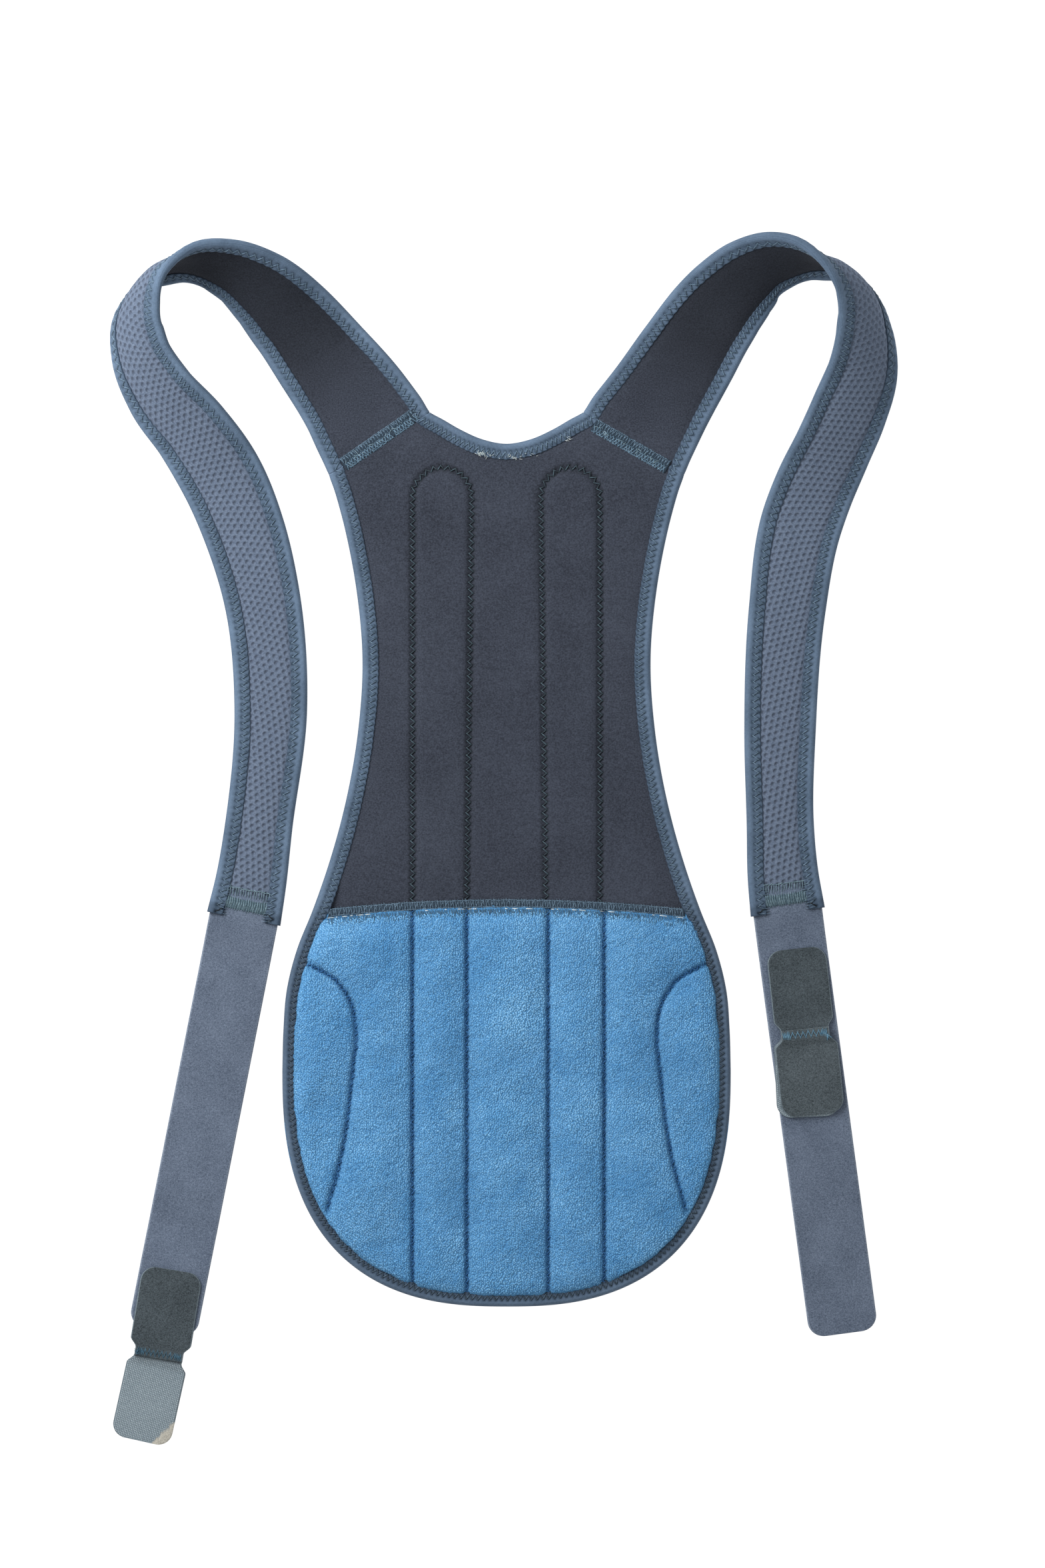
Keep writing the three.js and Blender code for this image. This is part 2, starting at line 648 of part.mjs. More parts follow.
// One leaf of a hook tab, from its sewn neck to its rounded free end
function tabLeaf(neck, end, width, neckZ, freeZ) {
  const length = Math.hypot(end.x - neck.x, end.y - neck.y);
  const rows = [{ along: -LEAF.neckLap / 2, half: LEAF.neck / 2, z: neckZ }];
  for (const share of SHOULDER_ROWS) {
    const along = LEAF.neckLap / 2 + LEAF.shoulder * share;
    const half = THREE.MathUtils.lerp(LEAF.neck / 2, width / 2, smooth(share));
    rows.push({ along, half, z: THREE.MathUtils.lerp(neckZ, freeZ, smooth(share)) });
  }
  for (const share of [...CORNER_ROWS].reverse()) {
    const half = roundedHalf(width, LEAF.corner, LEAF.corner * share);
    rows.push({ along: length - LEAF.corner * share, half, z: freeZ });
  }
  return strip(neck, end, rows, LEAF.thick);
}

const brace = new THREE.Group();
function addPiece(name, geometry, colour, roughness = 0.9) {
  const material = new THREE.MeshStandardMaterial({ color: colour, roughness, metalness: 0 });
  const mesh = new THREE.Mesh(geometry, material);
  mesh.name = name;
  brace.add(mesh);
}

addPiece("back_panel", backPanel(), COLOURS.jersey);
addPiece("lumbar_pad", lumbarPad(), COLOURS.terry, 0.95);
addPiece("panel_binding", panelBinding(), COLOURS.binding);
addPiece("neck_binding", neckBinding(), COLOURS.binding);
for (const { name, rows, side } of [
  { name: "left", rows: LEFT_STRAP, side: -1 },
  { name: "right", rows: RIGHT_STRAP, side: 1 },
]) {
  const ribbon = strapRibbon(rows, side);
  addPiece(`${name}_strap`, strapPadding(ribbon), COLOURS.mesh);
  addPiece(`${name}_strap_neck_binding`, strapBinding(ribbon, 1), COLOURS.binding);
  addPiece(`${name}_strap_arm_binding`, strapBinding(ribbon, -1), COLOURS.binding);
}

// The tapes start between the free ends of the bindings and come down to the surface
const TAPE_STARTS_Z = BOUND_HALF - TAPE.thick / 2;
const LEFT_TAPE = { start: { x: -149.7, y: -22 }, end: { x: -196.2, y: -257 } };
const RIGHT_TAPE = { start: { x: 160.2, y: -18.2 }, end: { x: 192.3, y: -258.4 } };
const TAPE_STARTS = -STRAP_EAR + GAP;
addPiece(
  "left_tape",
  loopTape(LEFT_TAPE.start, LEFT_TAPE.end, [
    { along: TAPE_STARTS, z: TAPE_STARTS_Z },
    { along: 1, z: TAPE_STARTS_Z },
    { along: 24, z: 0 },
    { along: 178, z: 0 },
    { along: 200, z: LEVEL },
  ]),
  COLOURS.velour,
);
addPiece(
  "right_tape",
  loopTape(RIGHT_TAPE.start, RIGHT_TAPE.end, [
    { along: TAPE_STARTS, z: TAPE_STARTS_Z },
    { along: 1, z: TAPE_STARTS_Z },
    { along: 18, z: 0 },
  ]),
  COLOURS.velour,
);

// Left tab: the jaws hold the tape's end between them and the tail lies beyond
const LEFT_TAB = {
  jaw: { x: -190, y: -221.9 },
  neck: { x: -198.1, y: -270.4 },
  tail: { x: -209, y: -319.6 },
};
const LEFT_JAW_WIDTH = 34.7;
const LEFT_TAIL_WIDTH = 34.4;
const FRONT_JAW_Z = LEVEL + TAPE_LEVEL;
const LEFT_LEAVES = [
  { name: "back_jaw", end: LEFT_TAB.jaw, width: LEFT_JAW_WIDTH, neckZ: 0, freeZ: 0 },
  { name: "tail", end: LEFT_TAB.tail, width: LEFT_TAIL_WIDTH, neckZ: LEVEL, freeZ: 0 },
  { name: "front_jaw", end: LEFT_TAB.jaw, width: LEFT_JAW_WIDTH, neckZ: 2 * LEVEL, freeZ: FRONT_JAW_Z },
];
for (const { name, end, width, neckZ, freeZ } of LEFT_LEAVES) {
  addPiece(`left_tab_${name}`, tabLeaf(LEFT_TAB.neck, end, width, neckZ, freeZ), COLOURS.felt);
}

// Right tab: it lies on the tape with its jaws closed on each other
const RIGHT_TAB = {
  tail: { x: 164.7, y: -39.1 },
  neck: { x: 170, y: -87 },
  frontJaw: { x: 174.8, y: -133.4 },
  backJaw: { x: 172.2, y: -134.8 },
};
const RIGHT_JAW_WIDTH = 36;
const RIGHT_TAIL_WIDTH = 34;
const [FIRST_Z, SECOND_Z, THIRD_Z] = [0, 1, 2].map((leaf) => TAPE_LEVEL + leaf * LEVEL);
const RIGHT_LEAVES = [
  { name: "back_jaw", end: RIGHT_TAB.backJaw, width: RIGHT_JAW_WIDTH, neckZ: FIRST_Z, freeZ: FIRST_Z },
  { name: "tail", end: RIGHT_TAB.tail, width: RIGHT_TAIL_WIDTH, neckZ: SECOND_Z, freeZ: FIRST_Z },
  { name: "front_jaw", end: RIGHT_TAB.frontJaw, width: RIGHT_JAW_WIDTH, neckZ: THIRD_Z, freeZ: SECOND_Z },
];
for (const { name, end, width, neckZ, freeZ } of RIGHT_LEAVES) {
  addPiece(`right_tab_${name}`, tabLeaf(RIGHT_TAB.neck, end, width, neckZ, freeZ), COLOURS.felt);
}

export default brace;
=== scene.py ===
"""Looks of a thoracolumbar brace that lies on its outer face, body side up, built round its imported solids.

Shapes are worked out in millimetres: Y towards the neck, Z up from the surface that it lies on, left and
right as seen from above. Tables repeat the sizes of the part's source.
"""

import math

import bpy
import numpy as np
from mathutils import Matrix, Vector, kdtree
from mathutils.bvhtree import BVHTree


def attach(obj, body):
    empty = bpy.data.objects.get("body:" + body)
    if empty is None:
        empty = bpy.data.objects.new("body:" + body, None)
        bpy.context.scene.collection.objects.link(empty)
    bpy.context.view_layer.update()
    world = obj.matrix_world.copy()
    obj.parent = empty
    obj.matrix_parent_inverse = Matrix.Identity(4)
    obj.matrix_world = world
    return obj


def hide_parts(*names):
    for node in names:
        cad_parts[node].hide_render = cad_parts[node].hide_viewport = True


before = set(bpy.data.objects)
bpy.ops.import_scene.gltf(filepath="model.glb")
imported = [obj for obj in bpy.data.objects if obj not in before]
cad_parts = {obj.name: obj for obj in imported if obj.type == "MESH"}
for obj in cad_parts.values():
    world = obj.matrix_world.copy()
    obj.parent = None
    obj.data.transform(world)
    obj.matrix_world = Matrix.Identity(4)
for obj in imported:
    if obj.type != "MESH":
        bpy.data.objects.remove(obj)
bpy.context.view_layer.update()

MM = 0.001
SEED = 7
ABOVE = 0.1  # metres: height from which surfaces are looked for

# Back panel: shoulder seam, half width down the side (y, half), bottom superellipse, neck scoop (x, y)
SHOULDER_ARM = np.array([100.5, 231.0])
SHOULDER_NECK = np.array([43.0, 267.0])
SIDE = [
    (231, 100.5), (199.5, 92), (165, 85.5), (125, 82.1), (85, 84.6), (40, 92.7),
    (5.7, 102.4), (-17.1, 110.4), (-39.9, 119.5), (-62.7, 125.2), (-85.5, 127.1), (-108, 127.7),
]
BOTTOM_HALF, BOTTOM_Y, BOTTOM_DEPTH, BOTTOM_POWER = 127.7, -108.0, 134.8, 2.55
NECK = [(0, 248.5), (13, 250.8), (26.5, 256.7), (43, 267)]
PATH_STEP = 0.5  # spacing of the points along an edge or a seam
TUCK = 1.5  # cloth reaches into the folded binding to this far from its outer edge
CORE = 60.0  # the panel's columns run straight up to this far from its middle line
CORE_EDGE = 100.0  # number of the outermost column, which stands for the panel's edge
PANEL_TOP, PANEL_PINCH = 4.6, 4.05
PANEL_BELOW, PANEL_BELOW_PINCH = 0.3, 1.35
PANEL_FREE, PANEL_SWELL = 9.4, 9.0  # the padding swells from this far in from the edge, over this distance
SEAM_LEVEL = 4.45  # height of the panel's upper face along the shoulder seams
POCKET_RISE, POCKET_GROOVE = 0.9, 0.8
POCKET_ARCH_Y, POCKET_LOW_Y = 218.0, -14.0
POCKET_INNER_X, POCKET_INNER_LOW_X, POCKET_OUTER_X = 19.7, 22.5, 53.4
POCKET_PITCH, POCKET_SWING = 4.1, 2.4  # length of a zigzag's there and back, and its width
POCKET_COLUMNS = (21.0, 53.3)  # the panel's grid is finer beside these lines
UNDER_PAD = 0.42  # share of the panel's length that lies under the pad, where its grid is coarse

# Lumbar pad
PAD_BOTTOM, PAD_PINCH, PAD_CROWN = 4.75, 1.3, 6.4
PAD_TOP_Y, PAD_TOP_SAG, PAD_TOP_SAG_AT = -11.4, 5.3, 100.0
PAD_SEAMS_X = [-53.4, -22.5, 23.7, 55.6]
PAD_SIDE_SEAM = [(114, -47), (96, -58), (88, -71), (85.5, -88), (87.5, -110), (93, -153), (102, -188)]
PAD_STEP = 2.1
PAD_HEM = 4.5  # the cover is held to this distance below its top edge
PAD_BLOWN = 2.6  # stuffing moves the cover no further than this
STUFFING_STEPS, STUFFING_PASSES = 20, 5  # steps of the cloth simulation, passes that smooth what it moves
LOOP_ACROSS, LOOP_UP = 1.07, 1.32  # terry loops stand this far apart, drawn a little coarser than real ones
LOOP_HALF, LOOP_THICK = 0.66, 0.86
LOOP_FIELD = (-128, 128), (-244, -14)  # x and y between which loops are laid, before those off the pad go

# Bindings, on the panel and on the pad: half thickness, distance from the folded edge to the lip
BOUND_HALF, PAD_BOUND_HALF = 2.7, 3.7
LIP, PAD_LIP = 9.25, 8.0
BINDING_OPENS, LIP_NARROWS = (4.0, -12.0), (-10.0, -24.0)  # y between which these change from panel to pad
BEAD = 2.5  # the folded edge is rounded to this distance in
PUFF_AT = 3.2  # the fold puffs up at this distance in, between bead and stitching
RAGGED = 8.2  # the lip is uneven from this distance in
RIB = 0.75  # spacing of the knit's ribs
BINDING_STEP = 0.9  # spacing of the sections along a binding
NECK_ROUND, ARM_ROUND = 0.9, -0.7  # shift of the edges where straps meet the panel
STITCH_OUT, STITCH_IN = 4.9, 7.6  # the zigzag runs between these distances from the outer edge

# Straps, a row for each section: x, y, width, roll, cup
LEFT_STRAP = [
    (-71.75, 249, 67.8, 0, 0), (-77.1, 257.5, 66.5, 0, 0), (-85.9, 272, 63, 0, 0), (-104.5, 297, 57, 0, 0),
    (-122.5, 319.2, 52, 10, 0), (-139, 335, 50, 30, 0), (-157, 345.2, 48.5, 50, 1), (-173, 347.8, 47.5, 65, 3),
    (-184.5, 344.8, 45, 79, 6), (-192.5, 339.5, 43, 90, 9), (-201.5, 330.5, 43, 112, 9), (-208, 317, 44, 130, 7),
    (-207, 300, 45, 138, 5), (-196, 276.5, 46.5, 149, 3), (-178, 254, 47.5, 160, 1), (-162, 229, 48, 174, 0),
    (-149, 197.6, 46.5, 180, 0), (-140, 164, 43.8, 180, 0), (-134.3, 97.5, 41.5, 180, 0),
    (-141.2, 30.4, 38.5, 180, 0), (-145.6, -1, 40.5, 180, 0), (-149.7, -22, 42.6, 180, 0),
]
RIGHT_STRAP = [
    (71.75, 249, 67.8, 0, 0), (77.1, 257.5, 66, 0, 0), (87.8, 274.6, 61.6, 0, 0), (102.4, 297.9, 58, 0, 0),
    (116.5, 319.5, 54, 4, 0), (126, 331, 52, 17, 0), (137.3, 341.5, 50.5, 30, 0), (150, 348.2, 49.5, 47, 1),
    (164.5, 348.8, 47.5, 64, 3), (174, 346, 45, 79, 6), (181, 342, 43, 90, 9), (191, 335.5, 43, 110, 9),
    (198.5, 325, 44, 125, 8), (202, 311, 45, 136, 6), (202, 290, 46, 150, 4), (194.5, 266.5, 46.5, 160, 2),
    (185, 244.5, 46.5, 163, 1), (174.8, 222, 46.5, 173, 0), (168, 203, 46.5, 180, 0),
    (159.8, 153.5, 43.7, 180, 0), (155.8, 85.5, 40.8, 180, 0), (156, 30, 38.4, 180, 0), (157.5, 3, 40.5, 180, 0),
    (160.2, -18.2, 42.6, 180, 0),
]
STRAP_EAR = 8.0
STRAP_THIN, STRAP_CROWN, STRAP_SEAM = 1.4, 2.35, 1.8  # half thickness at the bindings, in the middle, at the shoulder
STRAP_TUCK = 1.7  # the padding reaches into the binding to this far from the strap's edge
STRAP_FREE, STRAP_SWELL = 9.5, 8.0  # it swells from this far in from the edge, over this distance
STRAP_STEP = 0.68  # spacing of the sections along a strap
MESH_COLUMNS, BODY_COLUMNS = 62, 22
DIMPLE_PITCH, DIMPLE_TURN = 3.86, math.radians(-20)
DIMPLE_RADIUS, DIMPLE_DEPTH = 1.6, 0.65

# Loop tapes and hook tabs
TAPE_WIDTH, TAPE_THICK, TAPE_CORNER = 39.4, 1.8, 9.0
LEAF_THICK, LEAF_CORNER, LEAF_NECK, LEAF_SHOULDER, LEAF_LAP = 1.2, 8.0, 27.6, 5.5, 5.0
HOOK_ACROSS, HOOK_ALONG = 1.0, 1.15  # hooks stand this far apart, drawn a little coarser than real ones
PEEL_FROM, PEEL_TO = (-200.9, -319.5), (-189.9, -310.2)  # the peeled corner lies below a line from here to there
LEVEL, TAPE_LEVEL = 1.5, 2.1  # rise of what lies on a leaf and of what lies on a tape


def linear(code):
    """A colour in sRGB hex as linear red, green, blue and alpha."""
    parts = [int(code[i : i + 2], 16) / 255 for i in (1, 3, 5)]
    return [c / 12.92 if c <= 0.04045 else ((c + 0.055) / 1.055) ** 2.4 for c in parts] + [1.0]


def add_node(tree, kind, inputs=None, **settings):
    """Adds a node, sets its properties, and links or sets its inputs by name or number."""
    node = tree.nodes.new(kind)
    for key, value in settings.items():
        setattr(node, key, value)
    for key, value in (inputs or {}).items():
        if isinstance(value, bpy.types.NodeSocket):
            tree.links.new(value, node.inputs[key])
        else:
            node.inputs[key].default_value = value
    return node


def smooth(t):
    """Eases from 0 to 1 as t goes from 0 to 1."""
    t = np.clip(t, 0, 1)
    return t * t * (3 - 2 * t)


def puffed(t):
    """Rise of stuffed cloth with its share of the way from a seam."""
    return np.sqrt(1 - (1 - np.clip(t, 0, 1)) ** 2)


def bell(distance, width):
    """Falls from 1 at no distance to nearly 0 at twice the width."""
    return np.exp(-((distance / width) ** 2))


def wander(points, size, seed):
    """Smooth random values from -1 to 1 that change over about size."""
    cells = 64
    table = np.random.default_rng(SEED + seed).uniform(-1, 1, (cells,) * 3)
    q = np.asarray(points, float) / size
    cell = np.floor(q).astype(int)
    part = smooth(q - cell)
    total = np.zeros(q.shape[:-1])
    for corner in np.ndindex(2, 2, 2):
        share = np.prod(np.where(corner, part, 1 - part), axis=-1)
        i, j, k = np.moveaxis((cell + corner) % cells, -1, 0)
        total += share * table[i, j, k]
    return total


def curve_through(rows, span):
    """A smooth curve through a table's rows, as a function of distance that gives every column, and its length."""
    rows = np.array(rows, float)
    steps = np.linalg.norm(np.diff(rows[:, span], axis=0), axis=1)
    knots = np.concatenate([[0], np.cumsum(steps)])
    secants = np.diff(rows, axis=0) / steps[:, None]
    slopes = np.concatenate([secants[:1], secants])
    before, after = steps[:-1, None], steps[1:, None]
    slopes[1:-1] = (secants[:-1] * after + secants[1:] * before) / (before + after)

    def at(distance):
        distance = np.asarray(distance, float)
        i = np.clip(np.searchsorted(knots, distance) - 1, 0, len(rows) - 2)
        h = steps[i][..., None]
        t = ((distance - knots[i]) / steps[i])[..., None]
        return (
            rows[i] * (1 + 2 * t) * (1 - t) ** 2
            + slopes[i] * h * t * (1 - t) ** 2
            + rows[i + 1] * t * t * (3 - 2 * t)
            + slopes[i + 1] * h * t * t * (t - 1)
        )

    return at, knots[-1]


def line_between(start, end):
    """A line's start, its unit direction, the direction to its left, and its length."""
    start, end = np.array(start, float), np.array(end, float)
    length = np.linalg.norm(end - start)
    way = (end - start) / length
    return start, way, np.array([-way[1], way[0]]), length


def lifted(flat, z):
    """Points from above with their heights."""
    return np.concatenate([flat, np.broadcast_to(z, np.shape(flat)[:-1])[..., None]], -1)


def always(value):
    """A function that gives one value at every distance."""
    return lambda distance: np.full(np.shape(distance), value)


def along_path(points):
    """Place and unit direction at distances along a path that runs straight on past its ends, and its length."""
    knots = np.concatenate([[0], np.cumsum(np.linalg.norm(np.diff(points, axis=0), axis=1))])

    def place(distance):
        return np.stack([np.interp(distance, knots, points[:, i]) for i in (0, 1)], -1)

    def at(distance):
        inside = np.clip(distance, 0, knots[-1])
        way = place(inside + 1.0) - place(inside - 1.0)
        way /= np.linalg.norm(way, axis=-1, keepdims=True)
        return place(inside) + way * (distance - inside)[..., None], way

    return at, knots[-1]


def nearest(path, points, reach=1e9):
    """Distance from each point to the nearest point of a closely spaced path."""
    path, points = np.asarray(path, float), np.asarray(points, float)
    tree = kdtree.KDTree(len(path))
    for i, p in enumerate(path):
        tree.insert((*p, 0.0)[:3], i)
    tree.balance()
    found = [tree.find((*p, 0.0)[:3])[2] for p in points.reshape(-1, points.shape[-1])]
    return np.minimum(np.array(found).reshape(points.shape[:-1]), reach)


# Contours of the panel


side_at, side_length = curve_through(SIDE, [0])


def side_half(y):
    """Half width of the panel at y, held at its ends."""
    return side_at(np.clip(SHOULDER_ARM[1] - np.asarray(y, float), 0, side_length))[..., 1]


def bottom_y(x):
    """The panel's lower end at x."""
    share = np.clip(np.abs(x) / BOTTOM_HALF, 0, 1)
    return BOTTOM_Y - BOTTOM_DEPTH * (1 - share**BOTTOM_POWER) ** (1 / BOTTOM_POWER)


def panel_contour():
    """The panel's edge from the left shoulder, round the bottom, to the right shoulder."""
    drop = np.arange(0, SHOULDER_ARM[1] - BOTTOM_Y, PATH_STEP)
    side = np.stack([side_half(SHOULDER_ARM[1] - drop), SHOULDER_ARM[1] - drop], 1)
    turn = np.linspace(0, math.pi / 2, 1500)
    x = BOTTOM_HALF * np.abs(np.cos(turn)) ** (2 / BOTTOM_POWER)
    y = BOTTOM_Y - BOTTOM_DEPTH * np.sin(turn) ** (2 / BOTTOM_POWER)
    right = np.concatenate([side, np.stack([x, y], 1)])
    return np.concatenate([right[:-1] * (-1, 1), right[::-1]])


def neck_contour():
    """The neck scoop from the right shoulder to the left one."""
    at, length = curve_through(NECK[::-1] + [(-x, y) for x, y in NECK[1:]], [0, 1])
    return at(np.linspace(0, length, 261))


CONTOUR, SCOOP = panel_contour(), neck_contour()


def top_y(x):
    """The panel's upper end at x: neck scoop in the middle, shoulder seams at the sides."""
    away = np.abs(x)
    right = SCOOP[: len(SCOOP) // 2 + 1][::-1]
    scoop = np.interp(away, right[:, 0], right[:, 1])
    slope = (SHOULDER_ARM[1] - SHOULDER_NECK[1]) / (SHOULDER_ARM[0] - SHOULDER_NECK[0])
    edge = np.where(away < SHOULDER_NECK[0], scoop, SHOULDER_NECK[1] + slope * (away - SHOULDER_NECK[0]))
    return edge - TUCK * smooth((SHOULDER_NECK[0] + 4 - away) / 3)


def seam_clear(points, side):
    """How far points lie inside the shoulder seam on one side."""
    along = SHOULDER_NECK - SHOULDER_ARM
    inward = np.array([-along[1] * side, along[0]]) / np.linalg.norm(along)
    return (points[..., 0] - SHOULDER_ARM[0] * side) * inward[0] + (points[..., 1] - SHOULDER_ARM[1]) * inward[1]


def edge_place(path):
    """Maps distance along an edge of the panel, distance in from it and height to a point."""
    at, length = along_path(path)

    def place(distance, inward, z):
        distance, inward, z = np.broadcast_arrays(distance, inward, z)
        p, way = at(distance)
        return np.stack([p[..., 0] - way[..., 1] * inward, p[..., 1] + way[..., 0] * inward, z], -1)

    return place, length


def seam_station(place, end, inwards, side):
    """Distance along an edge near one end where it meets the shoulder seam, for each distance in."""
    tries = end + np.linspace(-15, 15, 601)
    clear = seam_clear(place(tries[:, None], np.asarray(inwards)[None, :], 0.0), side)
    return tries[np.argmin(np.abs(clear), axis=0)]


# Straps


def strap_ribbon(rows, side):
    """Maps distance along a strap, distance across it from the arm edge (negative) to the neck edge, and height
    from the middle of the padding towards the body side to a point. Also gives half width and length."""
    at, length = curve_through(rows, [0, 1])

    def place(distance, across, height):
        distance, across, height = np.broadcast_arrays(distance, across, height)
        x, y, width, roll, cup = np.moveaxis(at(distance), -1, 0)
        way = at(distance + 0.5)[..., :2] - at(distance - 0.5)[..., :2]
        way /= np.linalg.norm(way, axis=-1, keepdims=True)
        turn = np.radians(np.clip(roll, 0, 180))

        def turned(over, up):
            lean = 8 * cup * over / width**2
            unit = np.hypot(1, lean)
            q = over - up * lean / unit
            r = up / unit - cup * (1 - (2 * over / width) ** 2)
            return q * np.cos(turn) - r * np.sin(turn), q * np.sin(turn) + r * np.cos(turn)

        corners = [turned(-width / 2, h)[1] for h in (-BOUND_HALF, BOUND_HALF)]
        over, up = turned(across, height)
        return np.stack(
            [x - side * way[..., 1] * over, y + side * way[..., 0] * over, up - np.minimum(*corners)], -1
        )

    def half(distance):
        return at(distance)[..., 2] / 2

    return place, half, length


# Making pieces


def placed(name, data):
    """A new object in the scene."""
    made = bpy.data.objects.new(name, data)
    bpy.context.scene.collection.objects.link(made)
    return made


def points_of(mesh):
    """Places of a mesh's points, in metres."""
    places = np.zeros(len(mesh.vertices) * 3)
    mesh.vertices.foreach_get("co", places)
    return places.reshape(-1, 3)


def mark(mesh, key, values, kind="FLOAT", field="value"):
    """Stores a value, or a vector, for each point of a mesh."""
    layer = mesh.attributes.new(key, kind, "POINT")
    layer.data.foreach_set(field, np.asarray(values, np.float32).ravel())


def new_piece(name, points, faces, materials, shades=None, attributes=None):
    """A closed mesh from points in millimetres, faces turned outwards, shaded smooth but for its end faces."""
    mesh = bpy.data.meshes.new(name)
    mesh.from_pydata((np.asarray(points, float) * MM).tolist(), [], faces)
    for key, values in (attributes or {}).items():
        mark(mesh, key, values)
    for material in materials:
        mesh.materials.append(material)
    if shades is not None:
        mesh.polygons.foreach_set("material_index", np.asarray(shades, np.int32))
    mesh.polygons.foreach_set("use_smooth", [len(face) == 4 for face in faces])
    return outward(placed(name, mesh))


def outward(piece):
    """Turns the faces of a closed mesh outwards."""
    points = points_of(piece.data)
    piece.data.calc_loop_triangles()
    corners = np.zeros(len(piece.data.loop_triangles) * 3, np.int32)
    piece.data.loop_triangles.foreach_get("vertices", corners)
    a, b, c = (points[corners.reshape(-1, 3)[:, i]] for i in range(3))
    if (a * np.cross(b, c)).sum() < 0:
        piece.data.flip_normals()
    piece.data.update()
    return piece


def grid_faces(rows, columns, first=0):
    """Quads of a grid of points stored row by row."""
    i, j = np.meshgrid(np.arange(rows - 1), np.arange(columns - 1), indexing="ij")
    a = first + (i * columns + j).ravel()
    return np.stack([a, a + 1, a + columns + 1, a + columns], 1).tolist()


def new_tube(name, points, materials, shades=None, attributes=None):
    """A closed piece from a row of rings of points, with a face on each end."""
    rings, size = points.shape[:2]
    i, j = np.meshgrid(np.arange(rings - 1), np.arange(size), indexing="ij")
    a, b = (i * size + j).ravel(), (i * size + (j + 1) % size).ravel()
    last = (rings - 1) * size
    faces = np.stack([a, b, b + size, a + size], 1).tolist()
    faces += [list(range(size - 1, -1, -1)), list(range(last, last + size))]
    return new_piece(name, points.reshape(-1, 3), faces, materials, shades, attributes)


def rim_of(rows, columns):
    """Numbers of a grid's border points in order round it."""
    top = list(range(columns - 1))
    right = [i * columns + columns - 1 for i in range(rows - 1)]
    bottom = [(rows - 1) * columns + j for j in range(columns - 1, 0, -1)]
    left = [i * columns for i in range(rows - 1, 0, -1)]
    return top + right + bottom + left


def settle(piece, slot, *nodes):
    """Puts a piece on the brace and hides the solids that it stands for; the finish that it is given is not used."""
    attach(piece, "root")
    if nodes:
        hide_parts(*nodes)
    return piece


# Materials


def fabric(name, roughness, sheen=0.0, sheen_roughness=0.5, sheen_tint="#ffffff"):
    """A new cloth material, its tree, its shader and the place of a point in it."""
    material = bpy.data.materials.new(name)
    material.use_nodes = True
    tree = material.node_tree
    shader = tree.nodes["Principled BSDF"]
    shader.inputs["Roughness"].default_value = roughness
    shader.inputs["Specular IOR Level"].default_value = 0.25
    shader.inputs["Sheen Weight"].default_value = sheen
    shader.inputs["Sheen Roughness"].default_value = sheen_roughness
    shader.inputs["Sheen Tint"].default_value = linear(sheen_tint)
    return material, tree, shader, add_node(tree, "ShaderNodeTexCoord").outputs["Object"]


def per_size(mm):
    """Scale of a texture on Object coordinates whose features are this many millimetres."""
    return 1 / (mm * MM)


def shaded_and_stained(tree, cloth, other):
    """A cloth's colour, changed to another where its attribute says: painted shade in needle holes, grooves, creases
    and on thread legs, and real stains such as the peeled corner.
    """
    shade_and_stain = add_node(tree, "ShaderNodeAttribute", attribute_name="shade_and_stain").outputs["Fac"]
    return add_node(tree, "ShaderNodeMix", {0: shade_and_stain, 6: cloth, 7: other}, data_type="RGBA").outputs[2]


def clothe(tree, shader, cloth, other, height, strength, depth):
    """Finishes a cloth: its colour, another where painted shade and stains are laid on, and the fine relief of a
    height whose full range is this many millimetres."""
    colour = shaded_and_stained(tree, cloth, other)
    relief = add_node(tree, "ShaderNodeBump", {"Strength": strength, "Distance": depth * MM, "Height": height})
    tree.links.new(colour, shader.inputs["Base Color"])
    tree.links.new(relief.outputs[0], shader.inputs["Normal"])


def charcoal_jersey(name, dark, light):
    """Knitted polyester jersey, brushed and glued to foam: matt, with a fine knit grain and faint streaks across,
    painted shade in the needle holes, along the stitched grooves and on the straps' body side towards their loops.
    The grain is drawn coarser than the knit, so that it shows."""
    material, tree, shader, place = fabric(name, 0.95, sheen=0.08, sheen_roughness=0.4, sheen_tint="#8d97ac")
    courses = add_node(tree, "ShaderNodeMapping", {"Vector": place, "Scale": (0.25, 1, 1)}).outputs[0]
    grain = add_node(tree, "ShaderNodeTexNoise", {"Vector": place, "Scale": per_size(0.85), "Detail": 2.0})
    streak = add_node(tree, "ShaderNodeTexNoise", {"Vector": courses, "Scale": per_size(3.2), "Detail": 2.0})
    cloud = add_node(tree, "ShaderNodeTexNoise", {"Vector": place, "Scale": per_size(45), "Detail": 2.0})
    tone_shift = add_node(tree, "ShaderNodeMath", {0: streak.outputs[0], 1: 0.25, 2: cloud.outputs[0]},
                    operation="MULTIPLY_ADD").outputs[0]
    both = add_node(tree, "ShaderNodeMath", {0: grain.outputs[0], 1: 2.5, 2: tone_shift},
                    operation="MULTIPLY_ADD").outputs[0]
    tone = add_node(tree, "ShaderNodeMapRange", {0: both, 1: 1.25, 2: 2.5}).outputs[0]
    cloth = add_node(tree, "ShaderNodeMix", {0: tone, 6: linear(dark), 7: linear(light)},
                     data_type="RGBA").outputs[2]
    # The near black second colour is the painted shade.
    clothe(tree, shader, cloth, linear("#0f1115"), grain.outputs[0], strength=0.6, depth=0.25)
    return material


